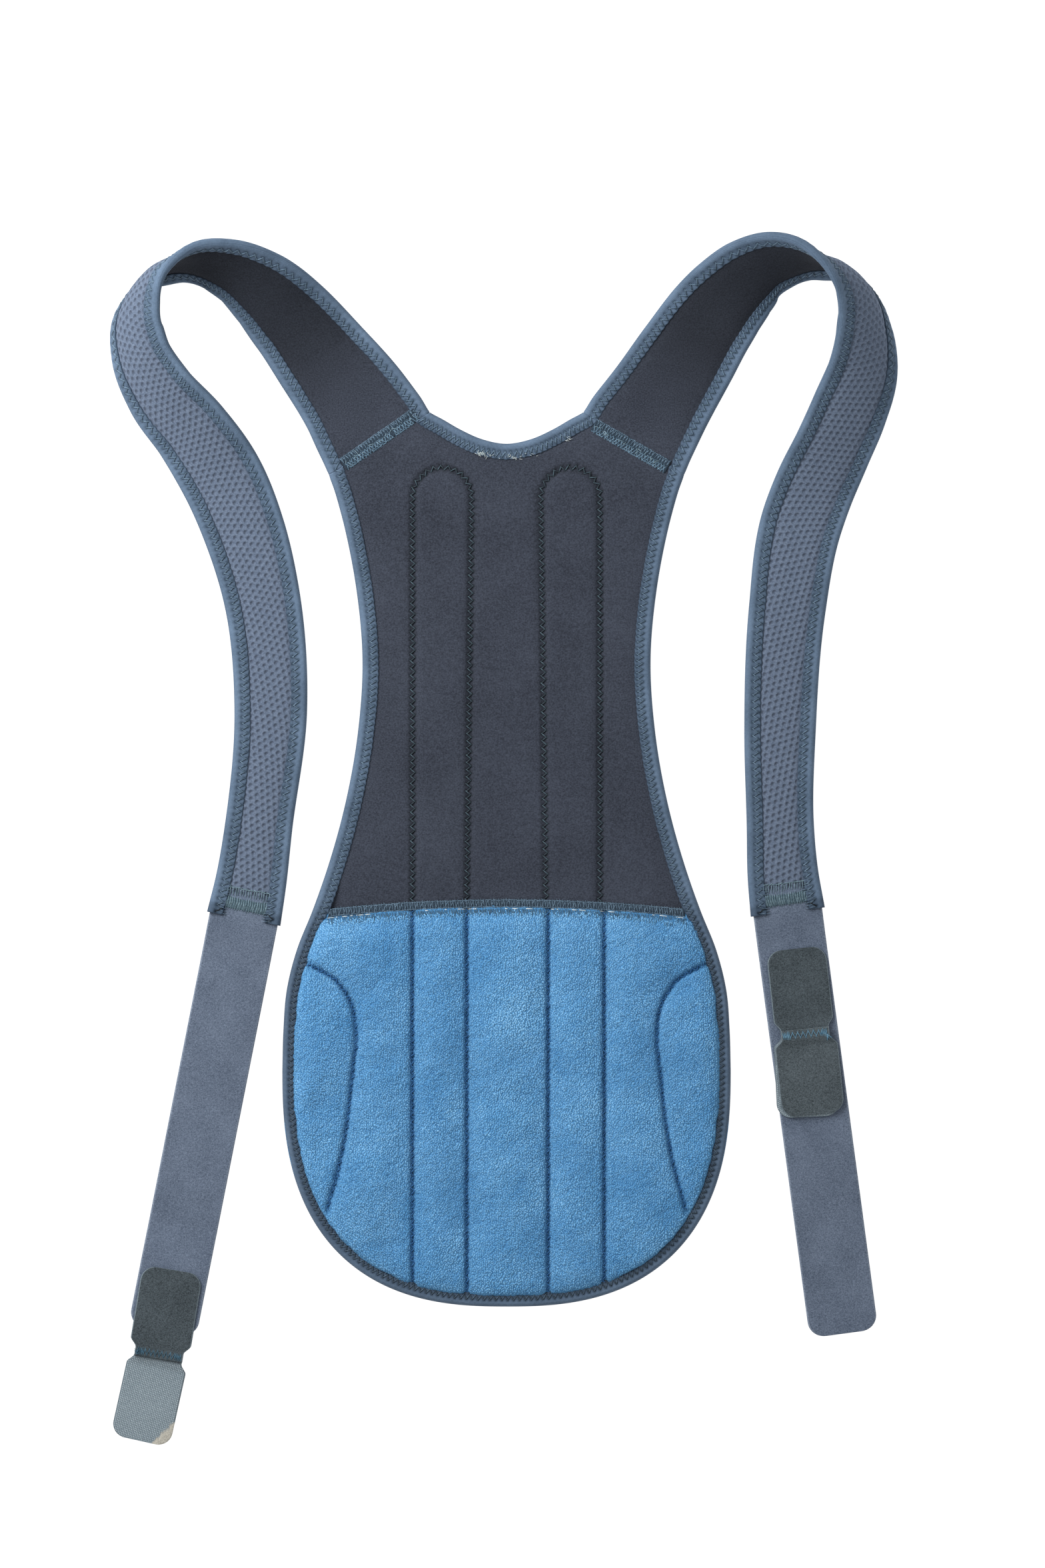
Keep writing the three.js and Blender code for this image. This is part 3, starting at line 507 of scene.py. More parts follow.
def blue_terry():
    """Cotton terry, knitted with standing loops: matt and soft, light loop tips over darker gaps in upright rows,
    patches where the pile leans, painted shade in the quilting seams."""
    material, tree, shader, place = fabric("blue_terry", 1.0, sheen=0.12, sheen_roughness=0.6, sheen_tint="#a9cdf0")
    rows = add_node(tree, "ShaderNodeMapping", {"Vector": place, "Scale": (1, 0.76, 0.6)}).outputs[0]
    loops = add_node(tree, "ShaderNodeTexVoronoi", {"Vector": rows, "Scale": per_size(1.05), "Randomness": 0.7})
    curl = add_node(tree, "ShaderNodeTexNoise", {"Vector": rows, "Scale": per_size(0.75), "Detail": 1.0})
    lean = add_node(tree, "ShaderNodeTexNoise", {"Vector": place, "Scale": per_size(24), "Detail": 3.0})
    tips = add_node(tree, "ShaderNodeMapRange", {0: loops.outputs["Distance"], 1: 0.05, 2: 0.8, 3: 1.0, 4: 0.0})
    pile = add_node(tree, "ShaderNodeMath", {0: curl.outputs[0], 1: 0.9, 2: tips.outputs[0]},
                    operation="MULTIPLY_ADD").outputs[0]
    patch = add_node(tree, "ShaderNodeMath", {0: lean.outputs[0], 1: 0.6, 2: pile},
                     operation="MULTIPLY_ADD").outputs[0]
    tone = add_node(tree, "ShaderNodeMapRange", {0: patch, 1: 0.6, 2: 1.75}).outputs[0]
    cloth = add_node(tree, "ShaderNodeMix", {0: tone, 6: linear("#3f77a8"), 7: linear("#68a4d0")},
                     data_type="RGBA").outputs[2]
    clothe(tree, shader, cloth, linear("#2a608f"), pile, strength=0.7, depth=0.7)
    return material


def terry_yarn():
    """Cotton yarn of the terry's loops: matt, lighter and darker from loop to loop and in patches, with painted shade
    in deeper blue beside the quilting seams."""
    material, tree, shader, place = fabric("terry_yarn", 1.0, sheen=0.1, sheen_roughness=0.6, sheen_tint="#a9cdf0")
    loop = add_node(tree, "ShaderNodeTexNoise", {"Vector": place, "Scale": per_size(1.1), "Detail": 2.0})
    lean = add_node(tree, "ShaderNodeTexNoise", {"Vector": place, "Scale": per_size(24), "Detail": 3.0})
    both = add_node(tree, "ShaderNodeMath", {0: lean.outputs[0], 1: 0.8, 2: loop.outputs[0]},
                    operation="MULTIPLY_ADD").outputs[0]
    tone = add_node(tree, "ShaderNodeMapRange", {0: both, 1: 0.66, 2: 1.14}).outputs[0]
    yarn = add_node(tree, "ShaderNodeMix", {0: tone, 6: linear("#5b9fd2"), 7: linear("#8ec7ef")},
                    data_type="RGBA").outputs[2]
    tree.links.new(shaded_and_stained(tree, yarn, linear("#265f90")), shader.inputs["Base Color"])
    return material


def bias_binding():
    """Folded elastane binding, warp knitted: smooth with a soft sheen on the bead, fine ribs along it, painted shade
    in the needle holes, under the lip's edge, in the valley and at the folded edge."""
    material, tree, shader, place = fabric("bias_binding", 0.8, sheen=0.14, sheen_roughness=0.4, sheen_tint="#b8cbe4")
    inward = add_node(tree, "ShaderNodeAttribute", attribute_name="inward").outputs["Fac"]
    rib = add_node(tree, "ShaderNodeMath", {0: inward, 1: 2 * math.pi / RIB}, operation="MULTIPLY").outputs[0]
    ribs = add_node(tree, "ShaderNodeMath", {0: rib}, operation="SINE").outputs[0]
    grain = add_node(tree, "ShaderNodeTexNoise", {"Vector": place, "Scale": per_size(1.1), "Detail": 2.0})
    cloud = add_node(tree, "ShaderNodeTexNoise", {"Vector": place, "Scale": per_size(18), "Detail": 2.0})
    mixed = add_node(tree, "ShaderNodeMath", {0: grain.outputs[0], 1: 0.6, 2: cloud.outputs[0]},
                     operation="MULTIPLY_ADD").outputs[0]
    ribbed = add_node(tree, "ShaderNodeMath", {0: ribs, 1: 0.13, 2: mixed}, operation="MULTIPLY_ADD").outputs[0]
    tone = add_node(tree, "ShaderNodeMapRange", {0: ribbed, 1: 0.4, 2: 1.2}).outputs[0]
    cloth = add_node(tree, "ShaderNodeMix", {0: tone, 6: linear("#4b5d71"), 7: linear("#6a7f97")},
                     data_type="RGBA").outputs[2]
    clothe(tree, shader, cloth, linear("#1a2939"), ribbed, strength=0.5, depth=0.3)
    return material


def dimple_at(tree, named, pitch, turn):
    """Nodes that give the way from the nearest dimple's middle, and the distance to it, in a honeycomb."""
    flat = add_node(tree, "ShaderNodeCombineXYZ", {0: named["across"], 1: named["along"]}).outputs[0]
    tall = add_node(tree, "ShaderNodeMath", {0: pitch, 1: math.sqrt(3)}, operation="MULTIPLY").outputs[0]
    cell = add_node(tree, "ShaderNodeCombineXYZ", {0: pitch, 1: tall, 2: 1.0}).outputs[0]
    turned = add_node(tree, "ShaderNodeVectorRotate", {"Vector": flat, "Angle": turn},
                      rotation_type="Z_AXIS").outputs[0]
    counted = add_node(tree, "ShaderNodeVectorMath", {0: turned, 1: cell}, operation="DIVIDE").outputs[0]
    ways, distances = [], []
    for shift in (0.0, 0.5):
        moved = add_node(tree, "ShaderNodeVectorMath", {0: counted, 1: (shift, shift, 0)}).outputs[0]
        half = add_node(tree, "ShaderNodeVectorMath", {0: moved, 1: (0.5, 0.5, 0)}).outputs[0]
        whole = add_node(tree, "ShaderNodeVectorMath", {0: half}, operation="FLOOR").outputs[0]
        rest = add_node(tree, "ShaderNodeVectorMath", {0: moved, 1: whole}, operation="SUBTRACT").outputs[0]
        ways.append(add_node(tree, "ShaderNodeVectorMath", {0: rest, 1: cell}, operation="MULTIPLY").outputs[0])
        distances.append(add_node(tree, "ShaderNodeVectorMath", {0: ways[-1]}, operation="LENGTH").outputs["Value"])
    second = add_node(tree, "ShaderNodeMath", {0: distances[1], 1: distances[0]}, operation="LESS_THAN").outputs[0]
    way = add_node(tree, "ShaderNodeMix", {0: second, 4: ways[0], 5: ways[1]}, data_type="VECTOR").outputs[1]
    near = add_node(tree, "ShaderNodeMath", {0: distances[0], 1: distances[1]}, operation="MINIMUM").outputs[0]
    return way, near


def spacer_mesh(name, side):
    """Polyester spacer mesh, warp knitted with honeycomb dimples: matt, fine yarn grain, a dark crescent on the side
    of each dimple that faces away from the light."""
    material, tree, shader, place = fabric(name, 0.9, sheen=0.25, sheen_roughness=0.5, sheen_tint="#aab8d0")
    grain = add_node(tree, "ShaderNodeTexNoise", {"Vector": place, "Scale": per_size(0.9), "Detail": 2.0})
    tone = add_node(tree, "ShaderNodeMapRange", {0: grain.outputs[0], 1: 0.3, 2: 0.7}).outputs[0]
    cloth = add_node(tree, "ShaderNodeMix", {0: tone, 6: linear("#556276"), 7: linear("#6e7b8f")},
                     data_type="RGBA").outputs[2]
    named = {key: add_node(tree, "ShaderNodeAttribute", attribute_name=key).outputs["Fac"]
             for key in ("along", "across", "webbed")}
    way, near = dimple_at(tree, named, DIMPLE_PITCH, DIMPLE_TURN)
    shade = np.array([0.7 * side, -0.7])
    turned = [shade @ (math.cos(DIMPLE_TURN), -math.sin(DIMPLE_TURN)),
              shade @ (math.sin(DIMPLE_TURN), math.cos(DIMPLE_TURN)), 0]
    lee = add_node(tree, "ShaderNodeVectorMath", {0: way, 1: turned}, operation="DOT_PRODUCT").outputs["Value"]
    crescent = add_node(tree, "ShaderNodeMapRange", {0: lee, 1: -0.5, 2: 1.1, 3: 0.1, 4: 0.58},
                        interpolation_type="SMOOTHSTEP").outputs[0]
    wall = add_node(tree, "ShaderNodeMapRange", {0: near, 1: 1.15, 2: 1.75, 3: 1.0, 4: 0.0},
                    interpolation_type="SMOOTHSTEP").outputs[0]
    both = add_node(tree, "ShaderNodeMath", {0: crescent, 1: wall}, operation="MULTIPLY").outputs[0]
    depth = add_node(tree, "ShaderNodeMath", {0: both, 1: named["webbed"]}, operation="MULTIPLY").outputs[0]
    colour = add_node(tree, "ShaderNodeMix", {0: depth, 6: cloth, 7: linear("#2c2f3b")}, data_type="RGBA").outputs[2]
    relief = add_node(tree, "ShaderNodeBump", {"Strength": 0.4, "Distance": 0.2 * MM, "Height": grain.outputs[0]})
    tree.links.new(colour, shader.inputs["Base Color"])
    tree.links.new(relief.outputs[0], shader.inputs["Normal"])
    return material


def napped(name, dark, light, grain_mm, roughness, sheen, sheen_tint, stained):
    """A napped cloth: short fibres as flecks between two colours, cloudy where the nap leans, stained where the
    attribute "dent" says."""
    material, tree, shader, place = fabric(name, roughness, sheen, sheen_tint=sheen_tint)
    nap = add_node(tree, "ShaderNodeTexNoise", {"Vector": place, "Scale": per_size(grain_mm), "Detail": 2.0,
                                                "Roughness": 0.7, "Distortion": 0.6})
    lean = add_node(tree, "ShaderNodeTexNoise", {"Vector": place, "Scale": per_size(22), "Detail": 2.0})
    both = add_node(tree, "ShaderNodeMath", {0: lean.outputs[0], 1: 0.3, 2: nap.outputs[0]},
                    operation="MULTIPLY_ADD").outputs[0]
    tone = add_node(tree, "ShaderNodeMapRange", {0: both, 1: 0.45, 2: 0.85}).outputs[0]
    cloth = add_node(tree, "ShaderNodeMix", {0: tone, 6: linear(dark), 7: linear(light)}, data_type="RGBA").outputs[2]
    deep = [0.55 * c for c in linear(stained)[:3]] + [1.0]
    stain = add_node(tree, "ShaderNodeMix", {0: tone, 6: deep, 7: linear(stained)}, data_type="RGBA").outputs[2]
    clothe(tree, shader, cloth, stain, nap.outputs[0], strength=0.6, depth=0.35)
    return material


def sewing_thread(name, code, dark):
    """Spun polyester sewing thread: slightly glossy, lighter and darker along its twist, with painted shade where
    its attribute lays it on."""
    material, tree, shader, place = fabric(name, 0.6, sheen=0.2, sheen_roughness=0.4)
    twist = add_node(tree, "ShaderNodeTexNoise", {"Vector": place, "Scale": per_size(1.6), "Detail": 1.0})
    tone = add_node(tree, "ShaderNodeMapRange", {0: twist.outputs[0], 1: 0.3, 2: 0.7}).outputs[0]
    spun = add_node(tree, "ShaderNodeMix", {0: tone, 6: linear(dark), 7: linear(code)}, data_type="RGBA").outputs[2]
    tree.links.new(shaded_and_stained(tree, spun, linear("#10151a")), shader.inputs["Base Color"])
    return material


JERSEY = charcoal_jersey("charcoal_jersey", "#292d37", "#444a57")
TERRY = blue_terry()
LOOP_PILE = terry_yarn()
BINDING = bias_binding()
MESH = {side: spacer_mesh(f"{name}_spacer_mesh", side) for name, side in (("left", -1), ("right", 1))}
PILE = {"grain_mm": 0.8, "roughness": 0.95, "sheen": 0.12, "sheen_tint": "#c3cfe4", "stained": "#3a424f"}
FUZZ = {"grain_mm": 0.75, "roughness": 1.0, "sheen": 0.1, "sheen_tint": "#9aa7ad", "stained": "#1d2225"}
MATTED = {"grain_mm": 0.7, "roughness": 1.0, "sheen": 0.1, "sheen_tint": "#9aa7ad", "stained": "#14191d"}
PLAIN = {"sheen": 0.0, "sheen_tint": "#ffffff", "stained": "#d3cfc2"}
# Brushed nylon loop: soft grey pile with a fine speckle
VELOUR = napped("loop_velour", "#4a5566", "#737f92", **PILE)
# Its woven edge: paler, a painted highlight along the rounded edge
SELVEDGE_HIGHLIGHT = napped("selvedge_highlight", "#5d687a", "#8b96a6", **PILE)
# Felted back of hook tape: dark grey, fuzzy
FELT = napped("hook_tape_felt", "#2d3438", "#555f65", **FUZZ)
RIGHT_FELT = napped("light_hook_tape_felt", "#363e42", "#606a70", **FUZZ)
# Moulded nylon hooks on their tape: light grey, slightly shiny
HOOKS = napped("hook_tape_base", "#74828b", "#8f9da5", grain_mm=0.7, roughness=0.6, **PLAIN)
# Hooks themselves: light grey, slightly shiny
HOOK_TIPS = sewing_thread("moulded_nylon_hooks", "#b9c5cb", "#98a6ae")
# Cut edge of hook tape: paler than its faces, a painted highlight along the rounded edge
EDGE_HIGHLIGHT = napped("cut_edge_highlight", "#56626a", "#78858c", grain_mm=0.8, roughness=0.9, **PLAIN)
TAB_BLUE = sewing_thread("tab_thread", "#6f98ae", "#48708a")
TAB_TEAL = sewing_thread("dark_tab_thread", "#4c7187", "#304c5b")
TEAL = sewing_thread("teal_thread", "#6e8599", "#4b6072")
GREY = sewing_thread("grey_teal_thread", "#50646f", "#2c3a44")
SLATE = sewing_thread("slate_thread", "#6d869a", "#435768")
WHIP = sewing_thread("whip_thread", "#7c949f", "#516873")
STRAY = sewing_thread("stray_thread", "#a3bbc6", "#6d8794")
PALE = sewing_thread("pale_thread", "#dfe4e2", "#b3c3c8")
LOOPS = sewing_thread("light_slate_thread", "#7896ab", "#4a6478")
SUNK = sewing_thread("sunk_slate_thread", "#4a6f8a", "#2f5068")
SEAM_BLUE = sewing_thread("blue_quilting_thread", "#356da3", "#204d7c")
# Packed threads under the whip stitches at the strap ends: slate, fuzzy
TACKED = napped("packed_bartack_threads", "#3a4c57", "#5b727e", **MATTED)
# Packed threads under the flatlock and overlock loops: dark slate, fuzzy
PACKED = napped("packed_overlock_threads", "#202b36", "#3a4a59", **MATTED)


# Sewing: every stitch is a short thread from hole to hole


def new_tree(name, inputs, output):
    """An empty geometry node tree with named inputs and one output, and the sockets that give the inputs."""
    tree = bpy.data.node_groups.new(name, "GeometryNodeTree")
    for key, kind in inputs.items():
        tree.interface.new_socket(key, in_out="INPUT", socket_type=f"NodeSocket{kind}")
    tree.interface.new_socket(output, in_out="OUTPUT", socket_type="NodeSocketGeometry")
    return tree, add_node(tree, "NodeGroupInput").outputs


def grown(piece, tree, inputs):
    """Replaces a piece's mesh by the plain mesh that a geometry node tree makes of it."""
    modifier = piece.modifiers.new(tree.name, "NODES")
    modifier.node_group = tree
    keys = {socket.name: socket.identifier for socket in tree.interface.items_tree if socket.in_out == "INPUT"}
    for key, value in inputs.items():
        modifier[keys[key]] = value
    graph = bpy.context.evaluated_depsgraph_get()
    made = bpy.data.meshes.new_from_object(piece.evaluated_get(graph), depsgraph=graph)
    old = piece.data
    piece.modifiers.clear()
    piece.data = made
    bpy.data.meshes.remove(old)
    made.name = piece.name


def stitch_tree():
    """Geometry nodes that lay an arched thread along each point's way, with its own up. The thread is one long and
    one thick before it is scaled, and its ends dip into the cloth."""
    tree, given = new_tree("sewn_stitches", {"Points": "Geometry", "Thickness": "Float", "Arch": "Float",
                                             "Steps": "Int", "Sides": "Int", "Thread": "Material"}, "Stitches")
    way = add_node(tree, "GeometryNodeInputNamedAttribute", {"Name": "way"}, data_type="FLOAT_VECTOR").outputs[0]
    up = add_node(tree, "GeometryNodeInputNamedAttribute", {"Name": "up"}, data_type="FLOAT_VECTOR").outputs[0]
    length = add_node(tree, "ShaderNodeVectorMath", {0: way}, operation="LENGTH").outputs["Value"]
    along = add_node(tree, "FunctionNodeAlignRotationToVector", {"Vector": way}, axis="X").outputs[0]
    stood = add_node(tree, "FunctionNodeAlignRotationToVector", {"Rotation": along, "Vector": up}, axis="Z",
                     pivot_axis="X").outputs[0]
    size = add_node(tree, "ShaderNodeCombineXYZ",
                    {0: length, 1: given["Thickness"], 2: given["Thickness"]}).outputs[0]
    crest = add_node(tree, "ShaderNodeCombineXYZ", {2: given["Arch"]}).outputs[0]
    leg = add_node(tree, "GeometryNodeCurveQuadraticBezier", {
        "Resolution": given["Steps"], "Start": (-0.46, 0, -1.2), "Middle": crest, "End": (0.46, 0, -1.2),
    }).outputs[0]
    ring = add_node(tree, "GeometryNodeCurvePrimitiveCircle",
                    {"Resolution": given["Sides"], "Radius": 0.5}).outputs[0]
    thread = add_node(tree, "GeometryNodeCurveToMesh", {"Curve": leg, "Profile Curve": ring, "Fill Caps": True})
    rounded = add_node(tree, "GeometryNodeSetShadeSmooth", {"Geometry": thread.outputs[0]}).outputs[0]
    laid = add_node(tree, "GeometryNodeInstanceOnPoints",
                    {"Points": given["Points"], "Instance": rounded, "Rotation": stood, "Scale": size}).outputs[0]
    real = add_node(tree, "GeometryNodeRealizeInstances", {0: laid}).outputs[0]
    dyed = add_node(tree, "GeometryNodeSetMaterial", {"Geometry": real, "Material": given["Thread"]}).outputs[0]
    add_node(tree, "NodeGroupOutput", {0: dyed})
    return tree


STITCHES = stitch_tree()


def point_cloud(name, points, vectors):
    """An object of loose points in millimetres with a vector attribute for each name."""
    mesh = bpy.data.meshes.new(name)
    mesh.from_pydata((points * MM).tolist(), [], [])
    for key, values in vectors.items():
        mark(mesh, key, values, "FLOAT_VECTOR", "vector")
    return placed(name, mesh)


def sew(name, legs, thread, thickness, arch=1.7, slot="thread", steps=4, sides=5, darkening=None):
    """Stitches from legs, each a start, an end and an upward direction, as one piece."""
    legs = np.concatenate(legs) if isinstance(legs, list) else legs
    ups = legs[:, 2] / np.linalg.norm(legs[:, 2], axis=1, keepdims=True)
    piece = point_cloud(name, (legs[:, 0] + legs[:, 1]) / 2, {"way": (legs[:, 1] - legs[:, 0]) * MM, "up": ups})
    if darkening is not None:
        mark(piece.data, "shade_and_stain", darkening)
    grown(piece, STITCHES, {"Thickness": thickness * MM, "Arch": arch, "Steps": steps, "Sides": sides,
                            "Thread": thread})
    for key in ("way", "up"):
        layer = piece.data.attributes.get(key)
        if layer:
            piece.data.attributes.remove(layer)
    settle(piece, slot)


def legs_through(holes, ups):
    """Legs from each hole to the next."""
    return np.stack([holes[:-1], holes[1:], (ups[:-1] + ups[1:]) / 2], 1)


def legs_between(starts, ends, up=(0, 0, 1)):
    """Legs from starts to ends, all with one upward direction."""
    starts, ends = np.asarray(starts, float), np.asarray(ends, float)
    return np.stack([starts, ends, np.broadcast_to(up, starts.shape)], 1)


def upper_surface(*pieces):
    """A function that gives the height of pieces at points from above."""
    trees = [
        BVHTree.FromPolygons([v.co for v in piece.data.vertices], [face.vertices for face in piece.data.polygons])
        for piece in pieces
    ]

    def height(points):
        found = []
        for x, y in points:
            hits = [tree.ray_cast(Vector((x * MM, y * MM, ABOVE)), Vector((0, 0, -1)))[0] for tree in trees]
            found.append(max((hit.z / MM for hit in hits if hit), default=0.0))
        return np.array(found)

    return height


def legs_on(height, starts, ends, lift):
    """Legs between points from above, laid on a surface, without those that would hang off it."""
    found = [(np.asarray(p), height(p)) for p in (starts, ends)]
    on = (found[0][1] > 0) & (found[1][1] > 0)
    return legs_between(*(lifted(p, z + lift)[on] for p, z in found))


def padded_strip(name, place, lengths, section, material):
    """A strip of packed threads: place(along, across) gives plan points, section lists across and height."""
    across, height = np.array(section).T
    flat = place(np.asarray(lengths)[:, None], across[None, :])
    return settle(new_tube(name, lifted(flat, height), [material]), "thread")


# Bindings


def binding_rows():
    """Section of a binding on one face: distance in, share of the half thickness, drop below it."""
    bead = [(BEAD * (1 - math.cos(a)), math.sin(a), 0.0) for a in np.radians(np.arange(15, 91, 15))]
    flat = [
        (3.3, 1, 0.02), (4.0, 1, 0.16), (STITCH_OUT, 1, 0.45), (5.5, 1, 0.55), (6.2, 1, 0.58), (6.9, 1, 0.55),
        (STITCH_IN, 1, 0.47), (8.1, 1, 0.38), (8.6, 1, 0.38), (9.0, 1, 0.5), (LIP, 1, 0.8),
    ]
    return bead + flat


def binding_loop():
    """The whole section in order round it: face, distance in, share, drop."""
    rows = binding_rows()
    inside = [(LIP - 0.1, 1, 1.3), (1.3, 1, 1.2)]
    top = [(1, *row) for row in reversed(rows)]
    below = [(-1, *row) for row in rows]
    return np.array(top + [(1, 0, 0, 0)] + below + [(-1, *row) for row in inside]
                    + [(1, *row) for row in reversed(inside)])


def surface_height(inward, half):
    """Height of a binding's face over its middle, at distances in."""
    rows = np.array(binding_rows())
    return half * np.interp(inward, rows[:, 0], rows[:, 1]) - np.interp(inward, rows[:, 0], rows[:, 2])


def bound_edge(name, place, starts, ends, half_at, lip_at, pitch, nodes, seed, tone_shift):
    """A folded binding along an edge, its needle holes, and the zigzag threads on both faces.
    place(distance, inward, height from the middle) gives a point; starts and ends give the distance at which
    the strip starts and ends for each distance in, and the last argument how much darker it is there."""
    face, inward, share, drop = binding_loop().T
    outside = share > 0
    first, last = starts(inward), ends(inward)
    rings = int(np.mean(last - first) / BINDING_STEP)
    distance = first + np.linspace(0, 1, rings)[:, None] * (last - first)
    half, wide = half_at(distance), lip_at(distance) / LIP
    flat = np.stack([distance, np.broadcast_to(inward, distance.shape), np.broadcast_to(face, distance.shape)], -1)
    rough = wander(flat * (1, 1, 9), size=6, seed=seed)
    pull = np.cos(2 * math.pi * distance / pitch)
    over = inward * wide + np.where(inward > RAGGED, 0.2 * pull + 0.2 * rough, 0)
    puff = bell(inward - PUFF_AT, 1.6) * outside
    height = face * (half * share - drop + puff * (0.10 * pull + 0.12 * rough))

    middle = np.array([(STITCH_OUT + STITCH_IN) / 2])
    run = np.arange(starts(middle)[0] + pitch / 4, ends(middle)[0] - pitch / 4, pitch / 2)
    zigzag = np.where(np.arange(len(run)) % 2, STITCH_IN, STITCH_OUT)
    past = zigzag + np.where(zigzag > middle, 0.4, -0.4)
    bent = lip_at(run) / LIP
    threads, holes = [], []
    for side in (1, -1):
        level = side * surface_height(zigzag, half_at(run))
        at = place(run, zigzag * bent, level + side * 0.12)
        up = place(run, zigzag * bent, level + side * 1.0) - at
        holes.append(place(run, past * bent, level))
        threads.append(legs_through(at, up))
    away = nearest(np.concatenate(holes), place(distance, over, height), 3.0)
    pit = bell(away, 0.95) * outside
    points = place(distance, over, height - face * 0.5 * pit)

    # Painted shade: in the needle holes, under the lip's edge, in the valley, at the folded edge and over the flange.
    lip = 0.45 * bell(inward - LIP, 0.35)
    valley = 0.16 * bell(inward - 6.0, 1.4)
    rim = 0.22 * bell(inward, 0.9) + 0.18 * smooth((inward - 6.6) / 1.2)
    shade_and_stain = np.clip(0.88 * pit + lip + valley + rim + tone_shift(distance), 0, 1)
    piece = new_tube(name, points, [BINDING],
                     attributes={"shade_and_stain": shade_and_stain, "inward": np.broadcast_to(inward, shade_and_stain.shape)})
    settle(piece, "binding", *nodes)
    # Painted shade on every other leg, the one turned away from the light, and the binding's own darkening.
    leg_shade = np.tile(0.3 * (np.arange(len(run) - 1) % 2) + 2.0 * tone_shift(run[:-1]), 2)
    sew(f"{name}_zigzag", threads, TEAL, thickness=0.62, darkening=leg_shade)


def corner_round(distance):
    """Share by which an edge is shifted near the shoulder seam, which rounds its corner there."""
    return bell(distance, 7)


def changed(y, span):
    """Share of a change between two heights that is done at y, coming down."""
    return smooth((span[0] - y) / (span[0] - span[1]))


def panel_half(y):
    """Half thickness of the panel's binding at y."""
    return BOUND_HALF + (PAD_BOUND_HALF - BOUND_HALF) * changed(y, BINDING_OPENS)


def panel_lip(y):
    """Distance in of its lip at y."""
    return LIP + (PAD_LIP - LIP) * changed(y, LIP_NARROWS)


def edge_bindings():
    """Bindings down and round the panel, and round the neck scoop."""
    side_place, side_long = edge_place(CONTOUR)
    scoop_place, scoop_long = edge_place(SCOOP)
    at_side = along_path(CONTOUR)[0]

    def side_y(distance):
        return at_side(distance)[0][..., 1]

    def on_side(distance, inward, height):
        shift = ARM_ROUND * (corner_round(distance) + corner_round(side_long - distance))
        return side_place(distance, inward + shift, panel_half(side_y(distance)) + height)

    def on_scoop(distance, inward, height):
        shift = NECK_ROUND * (corner_round(distance) + corner_round(scoop_long - distance))
        return scoop_place(distance, inward + shift, BOUND_HALF + height)

    bound_edge(
        "edge_binding", on_side,
        starts=lambda w: seam_station(side_place, 0, w, -1), ends=lambda w: seam_station(side_place, side_long, w, 1),
        half_at=lambda d: panel_half(side_y(d)), lip_at=lambda d: panel_lip(side_y(d)),
        # Painted shade: the panel's binding darkens towards the bottom, where the light falls off.
        pitch=3.4, nodes=["panel_binding"], seed=11, tone_shift=lambda d: 0.2 * smooth(-side_y(d) / 30),
    )
    bound_edge(
        "scoop_binding", on_scoop,
        starts=lambda w: seam_station(scoop_place, 0, w, 1),
        ends=lambda w: seam_station(scoop_place, scoop_long, w, -1),
        half_at=always(BOUND_HALF), lip_at=always(LIP),
        pitch=2.8, nodes=["neck_binding"], seed=12, tone_shift=np.zeros_like,
    )


# Back panel


def pocket_path(side):
    """Middle of a pocket's zigzag, from its lower inner end over the arch to its lower outer end."""
    radius = (POCKET_OUTER_X - POCKET_INNER_X) / 2
    centre = (POCKET_OUTER_X + POCKET_INNER_X) / 2
    y = np.arange(POCKET_LOW_Y, POCKET_ARCH_Y, PATH_STEP)
    rise = (y - POCKET_LOW_Y) / (POCKET_ARCH_Y - POCKET_LOW_Y)
    inner = np.stack([POCKET_INNER_LOW_X + (POCKET_INNER_X - POCKET_INNER_LOW_X) * rise, y], 1)
    turn = np.linspace(math.pi, 0, 100)
    arch = np.stack([centre + radius * np.cos(turn), POCKET_ARCH_Y + radius * np.sin(turn)], 1)
    outer = np.stack([np.full(len(y), POCKET_OUTER_X), y[::-1]], 1)
    return np.concatenate([inner, arch, outer]) * (side, 1)


POCKETS = [pocket_path(-1), pocket_path(1)]


def in_pocket(points):
    """Distance inside a pocket's stitching, negative outside it."""
    x, y = np.abs(points[..., 0]), points[..., 1]
    radius = (POCKET_OUTER_X - POCKET_INNER_X) / 2
    centre = (POCKET_OUTER_X + POCKET_INNER_X) / 2
    return radius - np.hypot(x - centre, np.maximum(y - POCKET_ARCH_Y, 0))


def panel_surfaces(points):
    """Height of the panel's two faces at points from above."""
    border = nearest(np.concatenate([CONTOUR[::2], SCOOP]), points)
    free = puffed((border - PANEL_FREE) / PANEL_SWELL)
    seam = np.minimum(np.abs(seam_clear(points, 1)), np.abs(seam_clear(points, -1)))
    calm = smooth((seam - 3) / 12)
    line = bell(nearest(np.concatenate(POCKETS), points, 20), 1.7)
    rise = POCKET_RISE * smooth(in_pocket(points) / 6)
    flat = lifted(points, 0.0)
    wave = 0.18 * wander(flat, size=34, seed=1) + 0.05 * wander(flat, size=7, seed=2)
    top = PANEL_PINCH + (PANEL_TOP + rise - POCKET_GROOVE * line + wave - PANEL_PINCH) * free
    top = SEAM_LEVEL + (top - SEAM_LEVEL) * (0.25 + 0.75 * calm)
    below = PANEL_BELOW_PINCH - (PANEL_BELOW_PINCH - PANEL_BELOW - 0.35 * line) * free
    return top, below


def zigzag_on(path, pitch, width):
    """Needle holes of a zigzag along a path seen from above."""
    at, length = along_path(path)
    run = np.arange(pitch / 4, length, pitch / 2)
    p, way = at(run)
    swing = np.where(np.arange(len(run)) % 2, 0.5, -0.5) * width
    return p + np.stack([-way[:, 1], way[:, 0]], 1) * swing[:, None]


